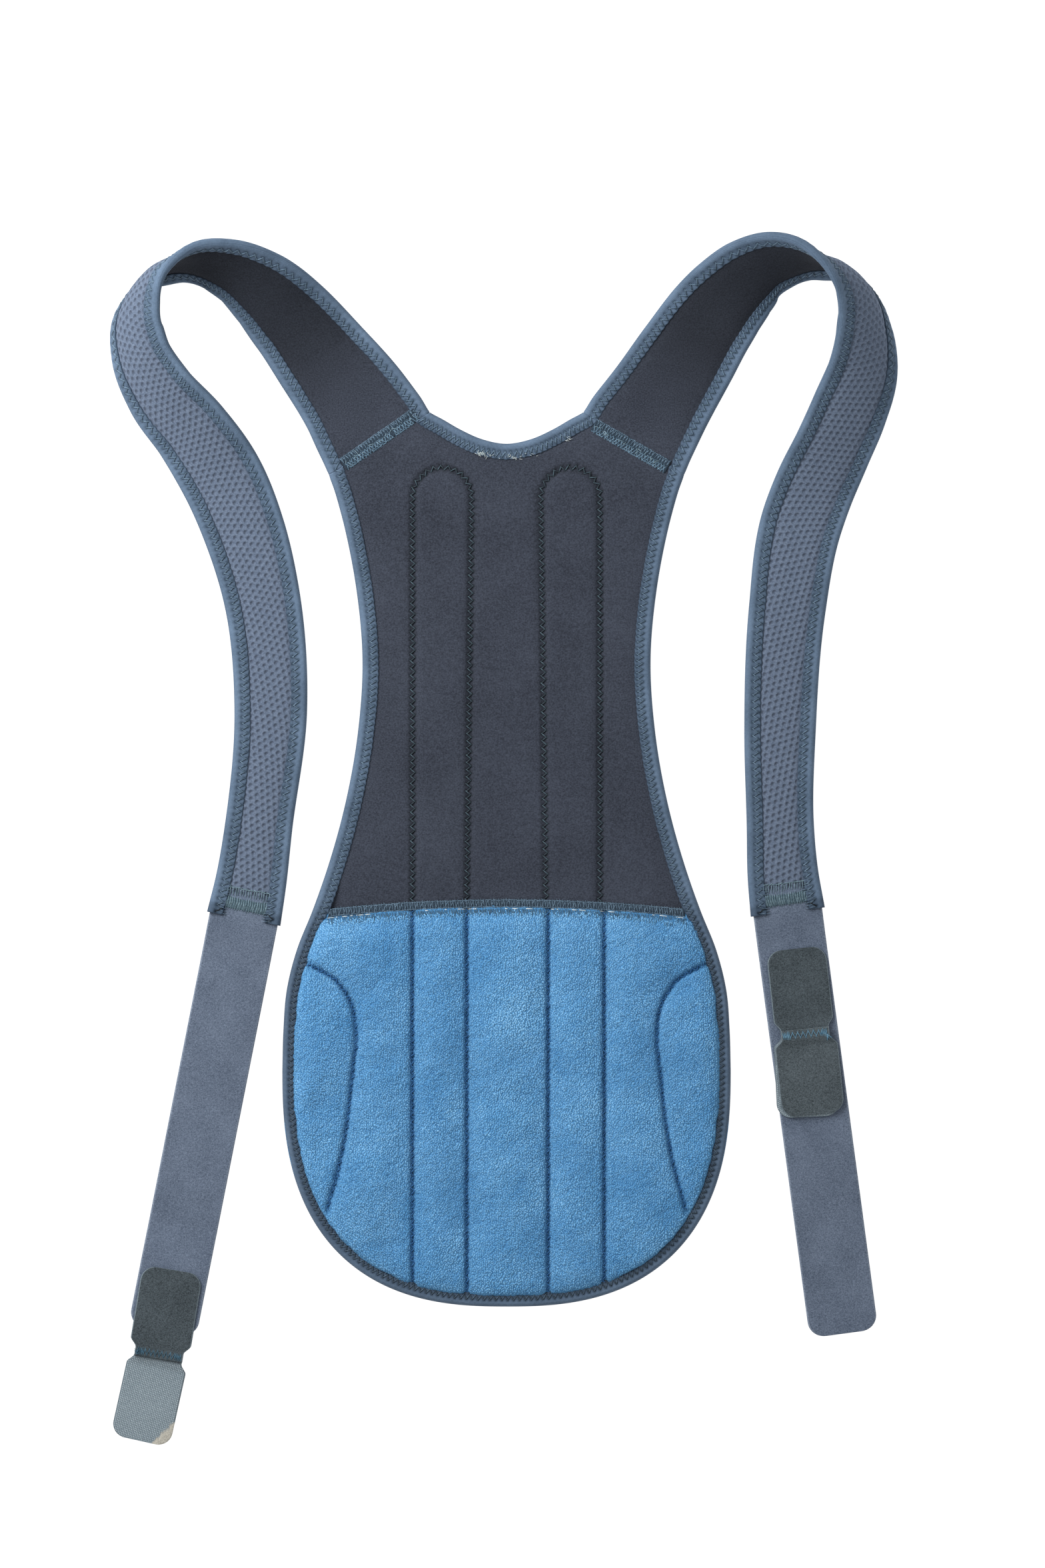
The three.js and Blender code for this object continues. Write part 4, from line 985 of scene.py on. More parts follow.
def back_panel():
    """The laminate, a grid of points on each face, and the pockets' zigzag on both of them."""
    beside = np.concatenate([np.arange(-3.2, 3.3, 0.8) + x for x in POCKET_COLUMNS])
    between = [x for x in np.arange(0, CORE, 2.1) if np.abs(beside - x).min() > 1.0]
    right = np.unique(np.concatenate([beside, between, np.linspace(CORE, CORE_EDGE, 19)]))
    columns = np.concatenate([-right[:0:-1], right])
    away = np.abs(columns)
    share = np.clip((away - CORE) / (CORE_EDGE - CORE), 0, 1)

    def across(half):
        return np.sign(columns) * np.where(away <= CORE, away, CORE + share * (half - TUCK - CORE))

    low = bottom_y(across(BOTTOM_HALF)) + TUCK
    high = top_y(across(SHOULDER_ARM[0]))
    rows = np.concatenate([np.linspace(0, UNDER_PAD, 34), np.linspace(UNDER_PAD, 1, 270)[1:]])
    y = low + (high - low) * rows[:, None]
    plan = np.stack([across(side_half(y)), y], -1)
    top, below = panel_surfaces(plan)
    zigzags = [zigzag_on(path, POCKET_PITCH, POCKET_SWING) for path in POCKETS]
    pit = bell(nearest(np.concatenate(zigzags), plan, 3), 1.0)
    groove = bell(nearest(np.concatenate(POCKETS), plan, 20), 1.6)
    # Painted shade: dark in the needle holes and along the stitched grooves.
    shade_and_stain = [np.clip(0.85 * pit + 0.3 * groove, 0, 1).ravel(), 0.4 * groove.ravel()]
    upper, lower = (lifted(plan, z).reshape(-1, 3) for z in (top - 0.5 * pit, below))
    count, (tall, broad) = len(upper), y.shape
    rim = rim_of(tall, broad)
    faces = grid_faces(tall, broad)
    under = [quad[::-1] for quad in grid_faces(tall, broad, count)]
    walls = [[a, a + count, b + count, b] for a, b in zip(rim, rim[1:] + rim[:1])]
    shades = [0] * len(faces) + [1] * len(under) + [0] * len(walls)
    piece = new_piece(
        "foam_panel", np.concatenate([upper, lower]), faces + under + walls, [JERSEY, MESH[1]], shades,
        {"shade_and_stain": np.concatenate(shade_and_stain)},
    )
    settle(piece, "jersey", "back_panel")

    inside, outside = [], []
    for holes in zigzags:
        top, below = panel_surfaces(holes)
        for legs, z, up in ((inside, top + 0.1, 1), (outside, below - 0.1, -1)):
            legs.append(legs_through(lifted(holes, z), np.tile((0.0, 0, up), (len(holes), 1))))
    # Painted shade on every other leg, the one turned away from the light.
    leg_shade = np.concatenate([0.1 + 0.5 * (np.arange(len(legs)) % 2) for legs in inside])
    sew("pocket_zigzag", inside, GREY, thickness=0.7, darkening=leg_shade)
    sew("pocket_zigzag_outside", outside, GREY, thickness=0.5, arch=0.8)


# Lumbar pad


def pad_cap(x):
    """The pad's upper edge at x."""
    return PAD_TOP_Y - PAD_TOP_SAG * (x / PAD_TOP_SAG_AT) ** 2


def pad_seam_paths():
    """The pad's quilting seams: two curved ones, then the straight ones."""
    curved, length = curve_through(PAD_SIDE_SEAM, [0, 1])
    right = curved(np.linspace(0, length, 320))
    paths = [right, right * (-1, 1)]
    for x in PAD_SEAMS_X:
        y = np.arange(bottom_y(x) + 6, pad_cap(x), PATH_STEP)
        paths.append(np.stack([np.full(len(y), x), y], 1))
    return paths


PAD_PATHS = pad_seam_paths()


def pad_grid():
    """Points from above in columns of one x, with the seams on columns of their own."""
    edge = BOTTOM_HALF - TUCK
    marks = [-edge, *PAD_SEAMS_X, edge]
    columns = [np.linspace(a, b, round((b - a) / PAD_STEP) + 1)[:-1] for a, b in zip(marks, marks[1:])]
    x = np.concatenate([*columns, [edge]])
    ys = np.linspace(BOTTOM_Y, 0, 700)
    side = np.interp(np.abs(x), (side_half(ys) - TUCK)[::-1], ys[::-1])
    high = np.minimum(pad_cap(x) - 1.2, np.where(np.abs(x) < side_half(pad_cap(x)) - TUCK, 1e9, side))
    low = np.minimum(bottom_y(x) + TUCK, high - 2.0)
    rows = np.linspace(0, 1, round(230 / PAD_STEP))
    return np.stack([np.broadcast_to(x, (len(rows), len(x))), low + (high - low) * rows[:, None]], -1)


def stuffed(plan, height, held):
    """The pad's cover blown up between its seams: cloth under pressure, held where it is sewn, movement capped."""
    rows, columns = plan.shape[:2]
    start = lifted(plan, height).reshape(-1, 3)
    mesh = bpy.data.meshes.new("pad_cover")
    mesh.from_pydata((start * MM).tolist(), [], grid_faces(rows, columns))
    cover = placed("pad_cover", mesh)
    sewn = cover.vertex_groups.new(name="sewn")
    sewn.add(np.nonzero(held.ravel())[0].tolist(), 1.0, "REPLACE")
    cloth = cover.modifiers.new("stuffing", "CLOTH")
    cloth.settings.quality = 4
    cloth.settings.mass = 0.1
    cloth.settings.vertex_group_mass = "sewn"
    cloth.settings.use_pressure = True
    cloth.settings.uniform_pressure_force = 4.0
    cloth.settings.effector_weights.gravity = 0.0
    cloth.settings.shrink_min = -0.012
    cloth.point_cache.frame_start, cloth.point_cache.frame_end = 1, STUFFING_STEPS
    scene = bpy.context.scene
    for number in range(1, STUFFING_STEPS + 1):
        scene.frame_set(number)
    graph = bpy.context.evaluated_depsgraph_get()
    shift = points_of(cover.evaluated_get(graph).data) / MM - start
    scene.frame_set(1)
    bpy.data.objects.remove(cover)
    bpy.data.meshes.remove(mesh)
    shift = shift.reshape(rows, columns, 3)
    for _ in range(STUFFING_PASSES):
        shift[1:-1, 1:-1] = (shift[:-2, 1:-1] + shift[2:, 1:-1] + shift[1:-1, :-2] + shift[1:-1, 2:]) / 4
        shift[held] = 0
    far = np.linalg.norm(shift, axis=-1, keepdims=True)
    return start.reshape(rows, columns, 3) + shift * np.minimum(1, PAD_BLOWN / np.maximum(far, 1e-6))


def pad_shape(plan):
    """Height of the quilted pad before it is stuffed, and distances to its seams, its edge and its top."""
    border = nearest(CONTOUR[::2], plan)
    seam = nearest(np.concatenate(PAD_PATHS), plan)
    from_top = pad_cap(plan[..., 0]) - plan[..., 1]
    quilted = 0.5 + 0.5 * puffed(seam / 14)
    edge = puffed((border - PAD_LIP + 1.2) / 11)
    opening = 0.12 + 0.88 * puffed((from_top - 5) / 16)
    return PAD_BOTTOM + PAD_PINCH + (PAD_CROWN - PAD_PINCH) * quilted * edge * opening, seam, border, from_top


def finer(grid):
    """A grid with a row added between each two, on a smooth curve through its neighbours."""
    padded = np.concatenate([2 * grid[:1] - grid[1:2], grid, 2 * grid[-1:] - grid[-2:-1]])
    between = (9 * (padded[1:-2] + padded[2:-1]) - padded[:-3] - padded[3:]) / 16
    rows = np.empty((len(grid) * 2 - 1, *grid.shape[1:]))
    rows[::2], rows[1::2] = grid, between
    return rows


def lumbar_pad():
    """The terry pad: its stuffed cover on a finer grid, creased along the seams, over a flat base."""
    plan = pad_grid()
    height, seam, border, from_top = pad_shape(plan)
    held = (seam < 1.2) | (border < PAD_LIP) | (from_top < PAD_HEM)
    held[[0, -1]] = True
    held[:, [0, -1]] = True
    puff = stuffed(plan, height, held)
    cover = finer(finer(puff).swapaxes(0, 1)).swapaxes(0, 1)
    rows, columns = cover.shape[:2]
    points = cover.reshape(-1, 3)
    seam = nearest(np.concatenate(PAD_PATHS), points[:, :2], 30)
    seam = np.maximum(seam + 0.6 * wander(points, size=1.3, seed=23) * smooth(3 - seam), 0)
    rise = points[:, 2] - PAD_BOTTOM
    crease = bell(seam, 1.6)
    nap = 0.32 * wander(points, size=1.9, seed=21) + 0.22 * wander(points, size=4.5, seed=22)
    points[:, 2] += smooth(rise / 1.2) * (nap * (1 - 0.5 * crease) - np.minimum(1.5 * crease, 0.55 * rise))
    from_top = pad_cap(points[:, 0]) - points[:, 1]
    hem = smooth((from_top - 4) / 0.8) * smooth((8.3 - from_top) / 1.5)
    # Painted shade in the creases of the quilting seams, and a darker band under the top hem.
    shade_and_stain = np.clip(0.7 * bell(seam, 0.9) + 0.16 * bell(seam, 2.4) + 0.6 * hem, 0, 1)

    count = len(points)
    rim = rim_of(rows, columns)
    floor = points[rim] * (1, 1, 0) + (0, 0, PAD_BOTTOM)
    walls = [[a, count + i, count + (i + 1) % len(rim), rim[(i + 1) % len(rim)]] for i, a in enumerate(rim)]
    base = [list(range(count, count + len(rim)))[::-1]]
    piece = new_piece(
        "terry_pad", np.concatenate([points, floor]), grid_faces(rows, columns) + walls + base, [TERRY],
        attributes={"shade_and_stain": np.concatenate([shade_and_stain, np.zeros(len(rim))])},
    )
    settle(piece, "terry", "lumbar_pad")
    return piece


def terry_loops(pad):
    """Standing loops of the terry in upright rows, thinned along seams and top, as four pieces from left to right."""
    random = np.random.default_rng(SEED + 60)
    height = upper_surface(pad)
    x, y = np.meshgrid(np.arange(*LOOP_FIELD[0], LOOP_ACROSS), np.arange(*LOOP_FIELD[1], LOOP_UP), indexing="ij")
    y = y + LOOP_UP / 2 * (np.arange(len(x)) % 2)[:, None]
    spots = np.stack([x, y], -1).reshape(-1, 2) + random.normal(0, 0.28, (x.size, 2))
    seam = nearest(np.concatenate(PAD_PATHS), spots, 9)
    side = nearest(CONTOUR[::2], spots)
    inside = (np.abs(spots[:, 0]) < side_half(spots[:, 1])) & (spots[:, 1] > bottom_y(spots[:, 0]))
    below_hem = pad_cap(spots[:, 0]) - spots[:, 1] > 5.2 + random.uniform(0, 2.5, len(spots))
    kept = inside & below_hem & (side > PAD_LIP - 0.3) & (seam > random.uniform(0.1, 1.0, len(spots)))
    spots, seam = spots[kept], seam[kept]
    count = len(spots)
    z = height(spots)
    lean = wander(lifted(spots, 0.0), size=30, seed=61)
    turn = math.pi / 2 + 0.5 * lean + random.normal(0, 0.35, count)
    half = LOOP_HALF * random.uniform(0.75, 1.2, count)
    way = np.stack([np.cos(turn), np.sin(turn)], 1)
    probe = 0.6
    slope = (height(spots + way * probe) - height(spots - way * probe)) / (2 * probe)
    rise = np.clip(slope, -1, 1) * half
    starts, ends = (lifted(spots + s * way * half[:, None], z + s * rise) for s in (-1, 1))
    up = np.stack([0.5 * wander(starts, size=26, seed=62) + random.normal(0, 0.25, count),
                   0.4 * lean + random.normal(0, 0.2, count), np.ones(count)], 1)
    legs = np.stack([starts, ends, up], 1)
    # Painted shade on the loops beside the seams.
    deep = 0.7 * bell(seam, 2.0)
    for name, low, high in (("outer_left", -200, -62), ("left", -62, 0), ("right", 0, 62), ("outer_right", 62, 200)):
        part = (spots[:, 0] >= low) & (spots[:, 0] < high)
        sew(f"{name}_terry_loops", legs[part], LOOP_PILE, LOOP_THICK, slot="terry", steps=2, sides=3,
            darkening=deep[part])


# Shoulder straps


def dimple_tree():
    """Geometry nodes that press a honeycomb of dimples into the faces that are marked as mesh."""
    tree, given = new_tree("honeycomb_dimples", {"Strap": "Geometry", "Pitch": "Float", "Radius": "Float",
                                                 "Depth": "Float", "Turn": "Float", "Mesh": "Material"}, "Dimpled")
    named = {key: add_node(tree, "GeometryNodeInputNamedAttribute", {"Name": key}, data_type="FLOAT").outputs[0]
             for key in ("along", "across", "webbed")}
    near = dimple_at(tree, named, given["Pitch"], given["Turn"])[1]
    bowl = add_node(tree, "ShaderNodeMapRange", {0: near, 1: 0.3, 2: given["Radius"], 3: 1.0, 4: 0.0},
                    interpolation_type="SMOOTHSTEP").outputs[0]
    dimple = add_node(tree, "ShaderNodeMath", {0: bowl, 1: named["webbed"]}, operation="MULTIPLY").outputs[0]
    sunk = add_node(tree, "ShaderNodeMath", {0: dimple, 1: given["Depth"]}, operation="MULTIPLY").outputs[0]
    down = add_node(tree, "ShaderNodeMath", {0: sunk, 1: -1.0}, operation="MULTIPLY").outputs[0]
    normal = add_node(tree, "GeometryNodeInputNormal").outputs[0]
    offset = add_node(tree, "ShaderNodeVectorMath", {0: normal, "Scale": down}, operation="SCALE").outputs[0]
    pressed = add_node(tree, "GeometryNodeSetPosition", {"Geometry": given["Strap"], "Offset": offset}).outputs[0]
    real = add_node(tree, "GeometryNodeRealizeInstances", {0: pressed}).outputs[0]
    outside = add_node(tree, "GeometryNodeInputNamedAttribute", {"Name": "outside"}, data_type="BOOLEAN").outputs[0]
    dyed = add_node(tree, "GeometryNodeSetMaterial",
                    {"Geometry": real, "Selection": outside, "Material": given["Mesh"]}).outputs[0]
    add_node(tree, "NodeGroupOutput", {0: dyed})
    return tree


DIMPLES = dimple_tree()


def strap_padding(name, ribbon, node, side):
    """A strap's padding as a row of closed sections: dimpled mesh on its outer face, jersey on its body side."""
    place, half_at, length = ribbon
    end = length - STRAP_EAR
    distance = np.linspace(0.15, end, int(end / STRAP_STEP))
    half = half_at(distance)[:, None]
    share = np.concatenate([np.linspace(-1, 1, MESH_COLUMNS), np.linspace(1, -1, BODY_COLUMNS)])
    face = np.concatenate([np.full(MESH_COLUMNS, -1.0), np.full(BODY_COLUMNS, 1.0)])
    across = (half - STRAP_TUCK) * share
    run = np.broadcast_to(distance[:, None], across.shape)
    free = half - STRAP_FREE - np.abs(across)
    swell = STRAP_THIN + (STRAP_CROWN - STRAP_THIN) * puffed(free / STRAP_SWELL)
    from_seam, from_end = smooth(run / 14), smooth((end - run) / 16)
    thick = (STRAP_SEAM + (swell - STRAP_SEAM) * (0.3 + 0.7 * from_seam)) * (0.6 + 0.4 * from_end)
    thick = np.where(free < 0, np.minimum(thick, STRAP_THIN), thick)
    flat = np.stack([run, across, 9 * np.broadcast_to(face, run.shape)], -1)
    thick = thick + 0.1 * wander(flat, size=16, seed=31) * smooth(free / 4)
    points = place(run, across, face * thick)
    webbed = (face < 0) * smooth(free / 1.5 + 0.5) * smooth((end - 4 - run) / 3) * smooth((run - 2) / 3)
    # Painted shade on the body-side jersey, growing towards the strap's loop, where the turned strap shades it.
    shade_and_stain = np.where(face > 0, 0.58 * smooth((run - 5) / 75), 0)
    rings, size = points.shape[:2]
    column = np.tile(np.arange(size), rings - 1)
    shades = np.concatenate([np.where(column < MESH_COLUMNS - 1, 0, 1), [0, 0]])
    piece = new_tube(name, points, [MESH[side], JERSEY], shades,
                     {"along": run, "across": across, "webbed": webbed, "shade_and_stain": shade_and_stain})
    outside = piece.data.attributes.new("outside", "BOOLEAN", "FACE")
    outside.data.foreach_set("value", shades == 0)
    grown(piece, DIMPLES, {"Pitch": DIMPLE_PITCH, "Radius": DIMPLE_RADIUS, "Depth": DIMPLE_DEPTH * MM,
                           "Turn": DIMPLE_TURN, "Mesh": MESH[side]})
    settle(piece, "mesh", node)


def strap_binding(name, ribbon, edge, node, seed, butted):
    """Binding on one edge of a strap, butted to the panel's binding or drawn under it at the shoulder."""
    place, half_at, length = ribbon

    def on_strap(distance, inward, height):
        under = smooth((0.4 - distance) / 1.6) * (not butted)
        shift = (NECK_ROUND if edge > 0 else ARM_ROUND) * corner_round(distance) + 0.7 * under
        return place(distance, edge * (half_at(distance) - inward - shift), height * (1 - 0.2 * under))

    bound_edge(
        name, on_strap, starts=always(0.0 if butted else -1.6), ends=always(length),
        half_at=always(BOUND_HALF), lip_at=always(LIP),
        # The strap's binding is darker over its last few millimetres, at its free end.
        pitch=3.8, nodes=[node], seed=seed, tone_shift=lambda d: 0.4 * smooth((d - length + 7) / 3),
    )


# Seams between pieces


def shoulder_seam(name, arm, neck, seed):
    """Flatlock seam between panel and strap: upright loops on the strap side, larger crossing loops on the panel
    side, a few threads across the dark gap between them."""
    random = np.random.default_rng(SEED + seed)
    arm, way, left, length = line_between(arm, neck)
    upward = left * np.sign(way[0])

    def place(along, across):
        return arm + way * np.asarray(along)[..., None] + upward * np.asarray(across)[..., None]

    section = [(-4.0, 4.5), (-3.5, 4.85), (-2.3, 5.1), (-0.9, 4.95), (0, 4.75), (0.9, 4.95), (2.2, 5.05), (3.3, 4.85),
               (3.8, 4.5), (3.4, 4.1), (-3.6, 4.1)]
    base = padded_strip(f"{name}_seam_base", place, np.linspace(-1.0, length + 1.0, 50), section, PACKED)
    top = upper_surface(base)

    def row(pitch, low, high, slant, jitter):
        along = np.arange(0, length, pitch)
        along = along + random.normal(0, jitter, len(along))
        ends = random.normal(0, 0.2, (2, len(along)))
        return legs_on(top, place(along, low + ends[0]), place(along + slant, high + ends[1]), lift=0.12)

    upright = [row(pitch=1.7, low=0.9, high=3.5, slant=0.35, jitter=0.12),
               row(pitch=1.7, low=1.3, high=3.4, slant=-0.7, jitter=0.2),
               row(pitch=1.7, low=3.4, high=3.5, slant=1.5, jitter=0.1)]
    crossing = [row(pitch=1.75, low=-3.8, high=-0.7, slant=1.3, jitter=0.15),
                row(pitch=1.75, low=-3.7, high=-0.8, slant=-1.3, jitter=0.15),
                row(pitch=1.75, low=-3.7, high=-3.8, slant=1.6, jitter=0.1)]
    sew(f"{name}_seam_loops", upright, SLATE, thickness=0.5)
    sew(f"{name}_seam_crossings", crossing, LOOPS, thickness=0.5)
    strays = 22
    along = random.uniform(0, length, strays)
    flat = place(along, random.uniform(-1.2, 0.4, strays))
    loose = legs_on(top, flat, flat + random.normal(0, 0.9, (strays, 2)), lift=0.3)
    sew(f"{name}_seam_strays", loose, STRAY, thickness=0.3)


def pad_top(pad, seed):
    """Overlocked top edge of the pad: dark band with slanted loops, a broken pale line, a row sunk in the terry."""
    random = np.random.default_rng(SEED + seed)
    reach = 101.5

    def place(along, below):
        along, below = np.broadcast_arrays(along, below)
        return np.stack([along, pad_cap(along) - below], -1)

    section = [(-0.6, 4.9), (-0.4, 6.1), (0.4, 6.7), (2.0, 6.95), (3.6, 6.9), (4.3, 6.4), (4.3, 5.2), (-0.6, 4.8)]
    base = padded_strip("pad_top_overlock_base", place, np.linspace(-reach, reach, 160), section, PACKED)
    top = upper_surface(base, pad)

    def row(pitch, high, low, slant, jitter, lift):
        along = np.arange(-reach, reach, pitch)
        along = along + random.normal(0, jitter, len(along))
        ends = random.normal(0, 0.18, (2, len(along)))
        return legs_on(top, place(along, high + ends[0]), place(along + slant, low + ends[1]), lift)

    slanted = [row(pitch=1.45, high=0.3, low=3.6, slant=0.55, jitter=0.12, lift=0.1),
               row(pitch=2.9, high=3.3, low=0.6, slant=1.2, jitter=0.2, lift=0.15)]
    chain = [row(pitch=1.45, high=0.0, low=-0.1, slant=1.4, jitter=0.05, lift=0.1),
             row(pitch=1.45, high=3.7, low=3.9, slant=1.4, jitter=0.08, lift=0.1)]
    sew("pad_top_overlock", slanted, SLATE, thickness=0.42)
    sew("pad_top_chain", chain, SLATE, thickness=0.5)
    start = np.arange(-reach, reach, 4.2)
    start = start + random.uniform(-1.2, 1.2, len(start))
    run = random.uniform(0.6, 3.8, len(start))
    kept = random.uniform(0, 1, len(start)) < np.where(start < -80, 0.9, 0.45)
    pale = legs_on(top, place(start, 4.7)[kept], place(start + run, 4.8)[kept], lift=0.25)
    sew("pad_top_pale_line", pale, PALE, thickness=0.65, arch=0.6)
    sunk = [row(pitch=1.3, high=5.0, low=7.9, slant=0.8, jitter=0.2, lift=0.05),
            row(pitch=1.7, high=5.2, low=8.4, slant=-0.6, jitter=0.35, lift=0.0)]
    sew("pad_top_sunk_row", sunk, SUNK, thickness=0.6)


def quilting(pad, seed):
    """Zigzag deep in the pad's seams, which goes on from the pockets'."""
    top = upper_surface(pad)
    random = np.random.default_rng(SEED + seed)
    legs = []
    for path in PAD_PATHS:
        holes = zigzag_on(path, POCKET_PITCH, 2.2)
        holes = holes + random.normal(0, 0.15, holes.shape)
        legs.append(legs_on(top, holes[:-1], holes[1:], lift=0.1))
    sew("pad_quilting", legs, SEAM_BLUE, thickness=0.6)


def strap_end(name, ribbon, seed):
    """Whip stitches that hold a strap's end on its tape, a chain row before them, a ladder down both free ends."""
    place, half_at, length = ribbon
    random = np.random.default_rng(SEED + seed)
    reach = half_at(length - 8.0) - 8.4
    across = np.linspace(-reach, reach, 40)
    back, high = np.array([(-10.9, 1.3), (-9.0, 1.75), (-6.5, 1.6), (-5.0, 1.35), (-4.5, 1.05), (-4.5, 0.6),
                           (-10.9, 0.7)]).T
    ring = place(length + back[None, :], across[:, None], -high[None, :])
    settle(new_tube(f"{name}_end_base", ring, [TACKED]), "thread")

    def row(pitch, back, front, slant, low, high):
        at = np.arange(-reach + 0.4, reach - 0.4, pitch)
        at = at + random.normal(0, 0.12, len(at))
        ends = random.normal(0, 0.25, (2, len(at)))
        starts = place(length + back + ends[0], at, -low)
        return legs_between(starts, place(length + front + ends[1], at + slant, -high))

    whip = [row(pitch=1.3, back=-10.7, front=-7.2, slant=0.3, low=1.75, high=1.85),
            row(pitch=1.3, back=-8.2, front=-4.6, slant=-0.3, low=1.85, high=1.3),
            row(pitch=2.6, back=-9.6, front=-5.6, slant=0.5, low=1.9, high=1.65)]
    chain = [row(pitch=1.5, back=-16.3, front=-12.9, slant=0.35, low=2.0, high=1.85),
             row(pitch=1.9, back=-16.6, front=-16.5, slant=1.8, low=2.1, high=2.1)]
    ladder = []
    for edge in (-1, 1):
        run = np.arange(length - 15, length - 0.8, 1.55)
        out = edge * (half_at(run) - 6.6 + random.normal(0, 0.2, len(run)))
        inside = edge * (half_at(run) - 9.9 + random.normal(0, 0.3, len(run)))
        ladder.append(legs_between(place(run, out, -2.45), place(run + 0.5, inside, -1.75)))
    sew(f"{name}_end_whip", whip, WHIP, thickness=0.5)
    sew(f"{name}_end_chain", chain, WHIP, thickness=0.5)
    sew(f"{name}_end_ladder", ladder, TEAL, thickness=0.34)


def fluff(name, spots, seed):
    """Loose pale fibres: a spot is a place, a count and a spread."""
    random = np.random.default_rng(SEED + seed)
    legs = []
    for place, count, spread in spots:
        start = np.array(place) + random.normal(0, 1, (count, 3)) * (spread, 0.5, 0.25)
        legs.append(legs_between(start, start + random.normal(0, 1, (count, 3)) * (0.7, 0.6, 0.2)))
    sew(name, legs, PALE, thickness=0.24)


# Strips: tapes and tab leaves


def strip(name, start, towards, stations, halves, heights, thick, materials, ripple, seed):
    """A flat strip with rounded edges along a line. stations, halves and heights of its underside go together, and
    materials are those of its upper face, its underside and its edges, whose paler one is a painted highlight."""
    start, way, aside, _ = line_between(start, towards)
    rim = thick / 2
    turn = np.radians(np.linspace(-90, 90, 7))
    shares = np.linspace(-1, 1, 27)[1:-1]
    points = []
    for along, half, z in zip(stations, halves, heights):
        flat = max(half - rim, 0.05)
        right = [(flat + rim * math.cos(a), rim + rim * math.sin(a)) for a in turn]
        top = [(-flat * s, thick) for s in shares]
        left = [(-flat - rim * math.cos(a), rim - rim * math.sin(a)) for a in turn]
        bottom = [(flat * s, 0.0) for s in shares]
        loop = np.array(right + top + left + bottom)
        points.append(lifted(start + way * along + loop[:, :1] * -aside, z + loop[:, 1]))
    points = np.array(points)
    points[..., 2] += ripple * wander(points, size=9, seed=seed)
    rings, size = points.shape[:2]
    column = np.tile(np.arange(size), rings - 1)
    edge, face = len(turn), len(shares)
    upper = (column >= edge // 2) & (column < edge + face + edge // 2)
    # Painted highlight: the rounded edges take the paler edge material.
    lit_rim = (column < edge - 1) | ((column >= edge + face) & (column < 2 * edge + face - 1))
    shades = np.concatenate([np.where(lit_rim, 2, np.where(upper, 0, 1)), [2, 2]])
    return new_tube(name, points, materials, shades)


def rounded_half(width, corner, from_end):
    """Half width of a strip at distances from its end with rounded corners."""
    short = np.maximum(corner - from_end, 0)
    return width / 2 - corner + np.sqrt(np.maximum(corner**2 - short**2, 0))


def rounded_stations(first, length, corner, clear, step):
    """Distances along a strip with a rounded end: evenly spaced, then closer together round its corners."""
    fine = length - corner * (1 - np.sin(np.linspace(0, math.pi / 2, 12)))
    return np.concatenate([np.arange(first, length - corner - clear, step), fine])


def loop_tape(name, start, end, rises, node):
    """A loop tape along a line; rises lists the height of its underside at distances along it."""
    length = line_between(start, end)[3]
    along, z = np.array(rises).T
    first = along[0]
    stations = rounded_stations(first, length, TAPE_CORNER, clear=1.0, step=2.0)
    piece = strip(
        name, start, end, stations, rounded_half(TAPE_WIDTH, TAPE_CORNER, length - stations),
        np.interp(stations, along, z), TAPE_THICK, [VELOUR, VELOUR, SELVEDGE_HIGHLIGHT], ripple=0.08, seed=41,
    )
    settle(piece, "velour", node)


def tab_leaf(name, neck, end, width, neck_z, free_z, materials, slot, node):
    """A leaf of a hook tab, narrow at the neck where it is sewn, rounded at its free end."""
    length = line_between(neck, end)[3]
    first = -LEAF_LAP / 2
    stations = rounded_stations(first, length, LEAF_CORNER, clear=0.5, step=1.0)
    widen = smooth((stations - LEAF_LAP / 2) / LEAF_SHOULDER)
    half = np.minimum(LEAF_NECK / 2 + (width - LEAF_NECK) / 2 * widen,
                      rounded_half(width, LEAF_CORNER, length - stations))
    heights = neck_z + (free_z - neck_z) * widen
    piece = strip(name, neck, end, stations, half, heights, LEAF_THICK, materials + [EDGE_HIGHLIGHT], ripple=0.05, seed=42)
    settle(piece, slot, node)
    return piece


def peeled(points):
    """How far points lie inside the left tail's peeled corner."""
    start, way, _, _ = line_between(PEEL_FROM, PEEL_TO)
    inside = (points[..., 0] - start[0]) * way[1] - (points[..., 1] - start[1]) * way[0]
    ragged = wander(lifted(points[..., :2], 0.0), size=2.2, seed=73)
    return inside + 0.9 * ragged


def peel(leaf):
    """Marks the corner where the hooks have come off and the pale backing shows."""
    mark(leaf.data, "shade_and_stain", smooth(peeled(points_of(leaf.data) / MM) / 0.8 + 0.5))


def hooked(name, leaf, covers, neck, end, bare):
    """Rows of moulded hooks on a leaf, but not under other leaves nor, if bare, on its peeled corner."""
    random = np.random.default_rng(SEED + 74)
    neck, way, aside, length = line_between(neck, end)
    over, along = np.meshgrid(np.arange(-20, 20, HOOK_ACROSS), np.arange(-3, length, HOOK_ALONG), indexing="ij")
    along = along + HOOK_ALONG / 2 * (np.arange(len(over)) % 2)[:, None]
    spots = (neck + along[..., None] * way + over[..., None] * aside).reshape(-1, 2)
    surface, cover = upper_surface(leaf), upper_surface(*covers)
    rim = np.array([surface(spots + 0.55 * turn) for turn in (way, -way, aside, -aside)])
    kept = (rim.min(axis=0) > 0) & (cover(spots) == 0) & ((peeled(spots) < -0.6) | (not bare))
    spots = spots[kept]
    half = way * random.uniform(0.26, 0.36, len(spots))[:, None]
    legs = legs_on(surface, spots - half, spots + half, lift=0.2)
    sew(name, legs, HOOK_TIPS, thickness=0.5, arch=1.4, slot="hook", steps=2, sides=4)


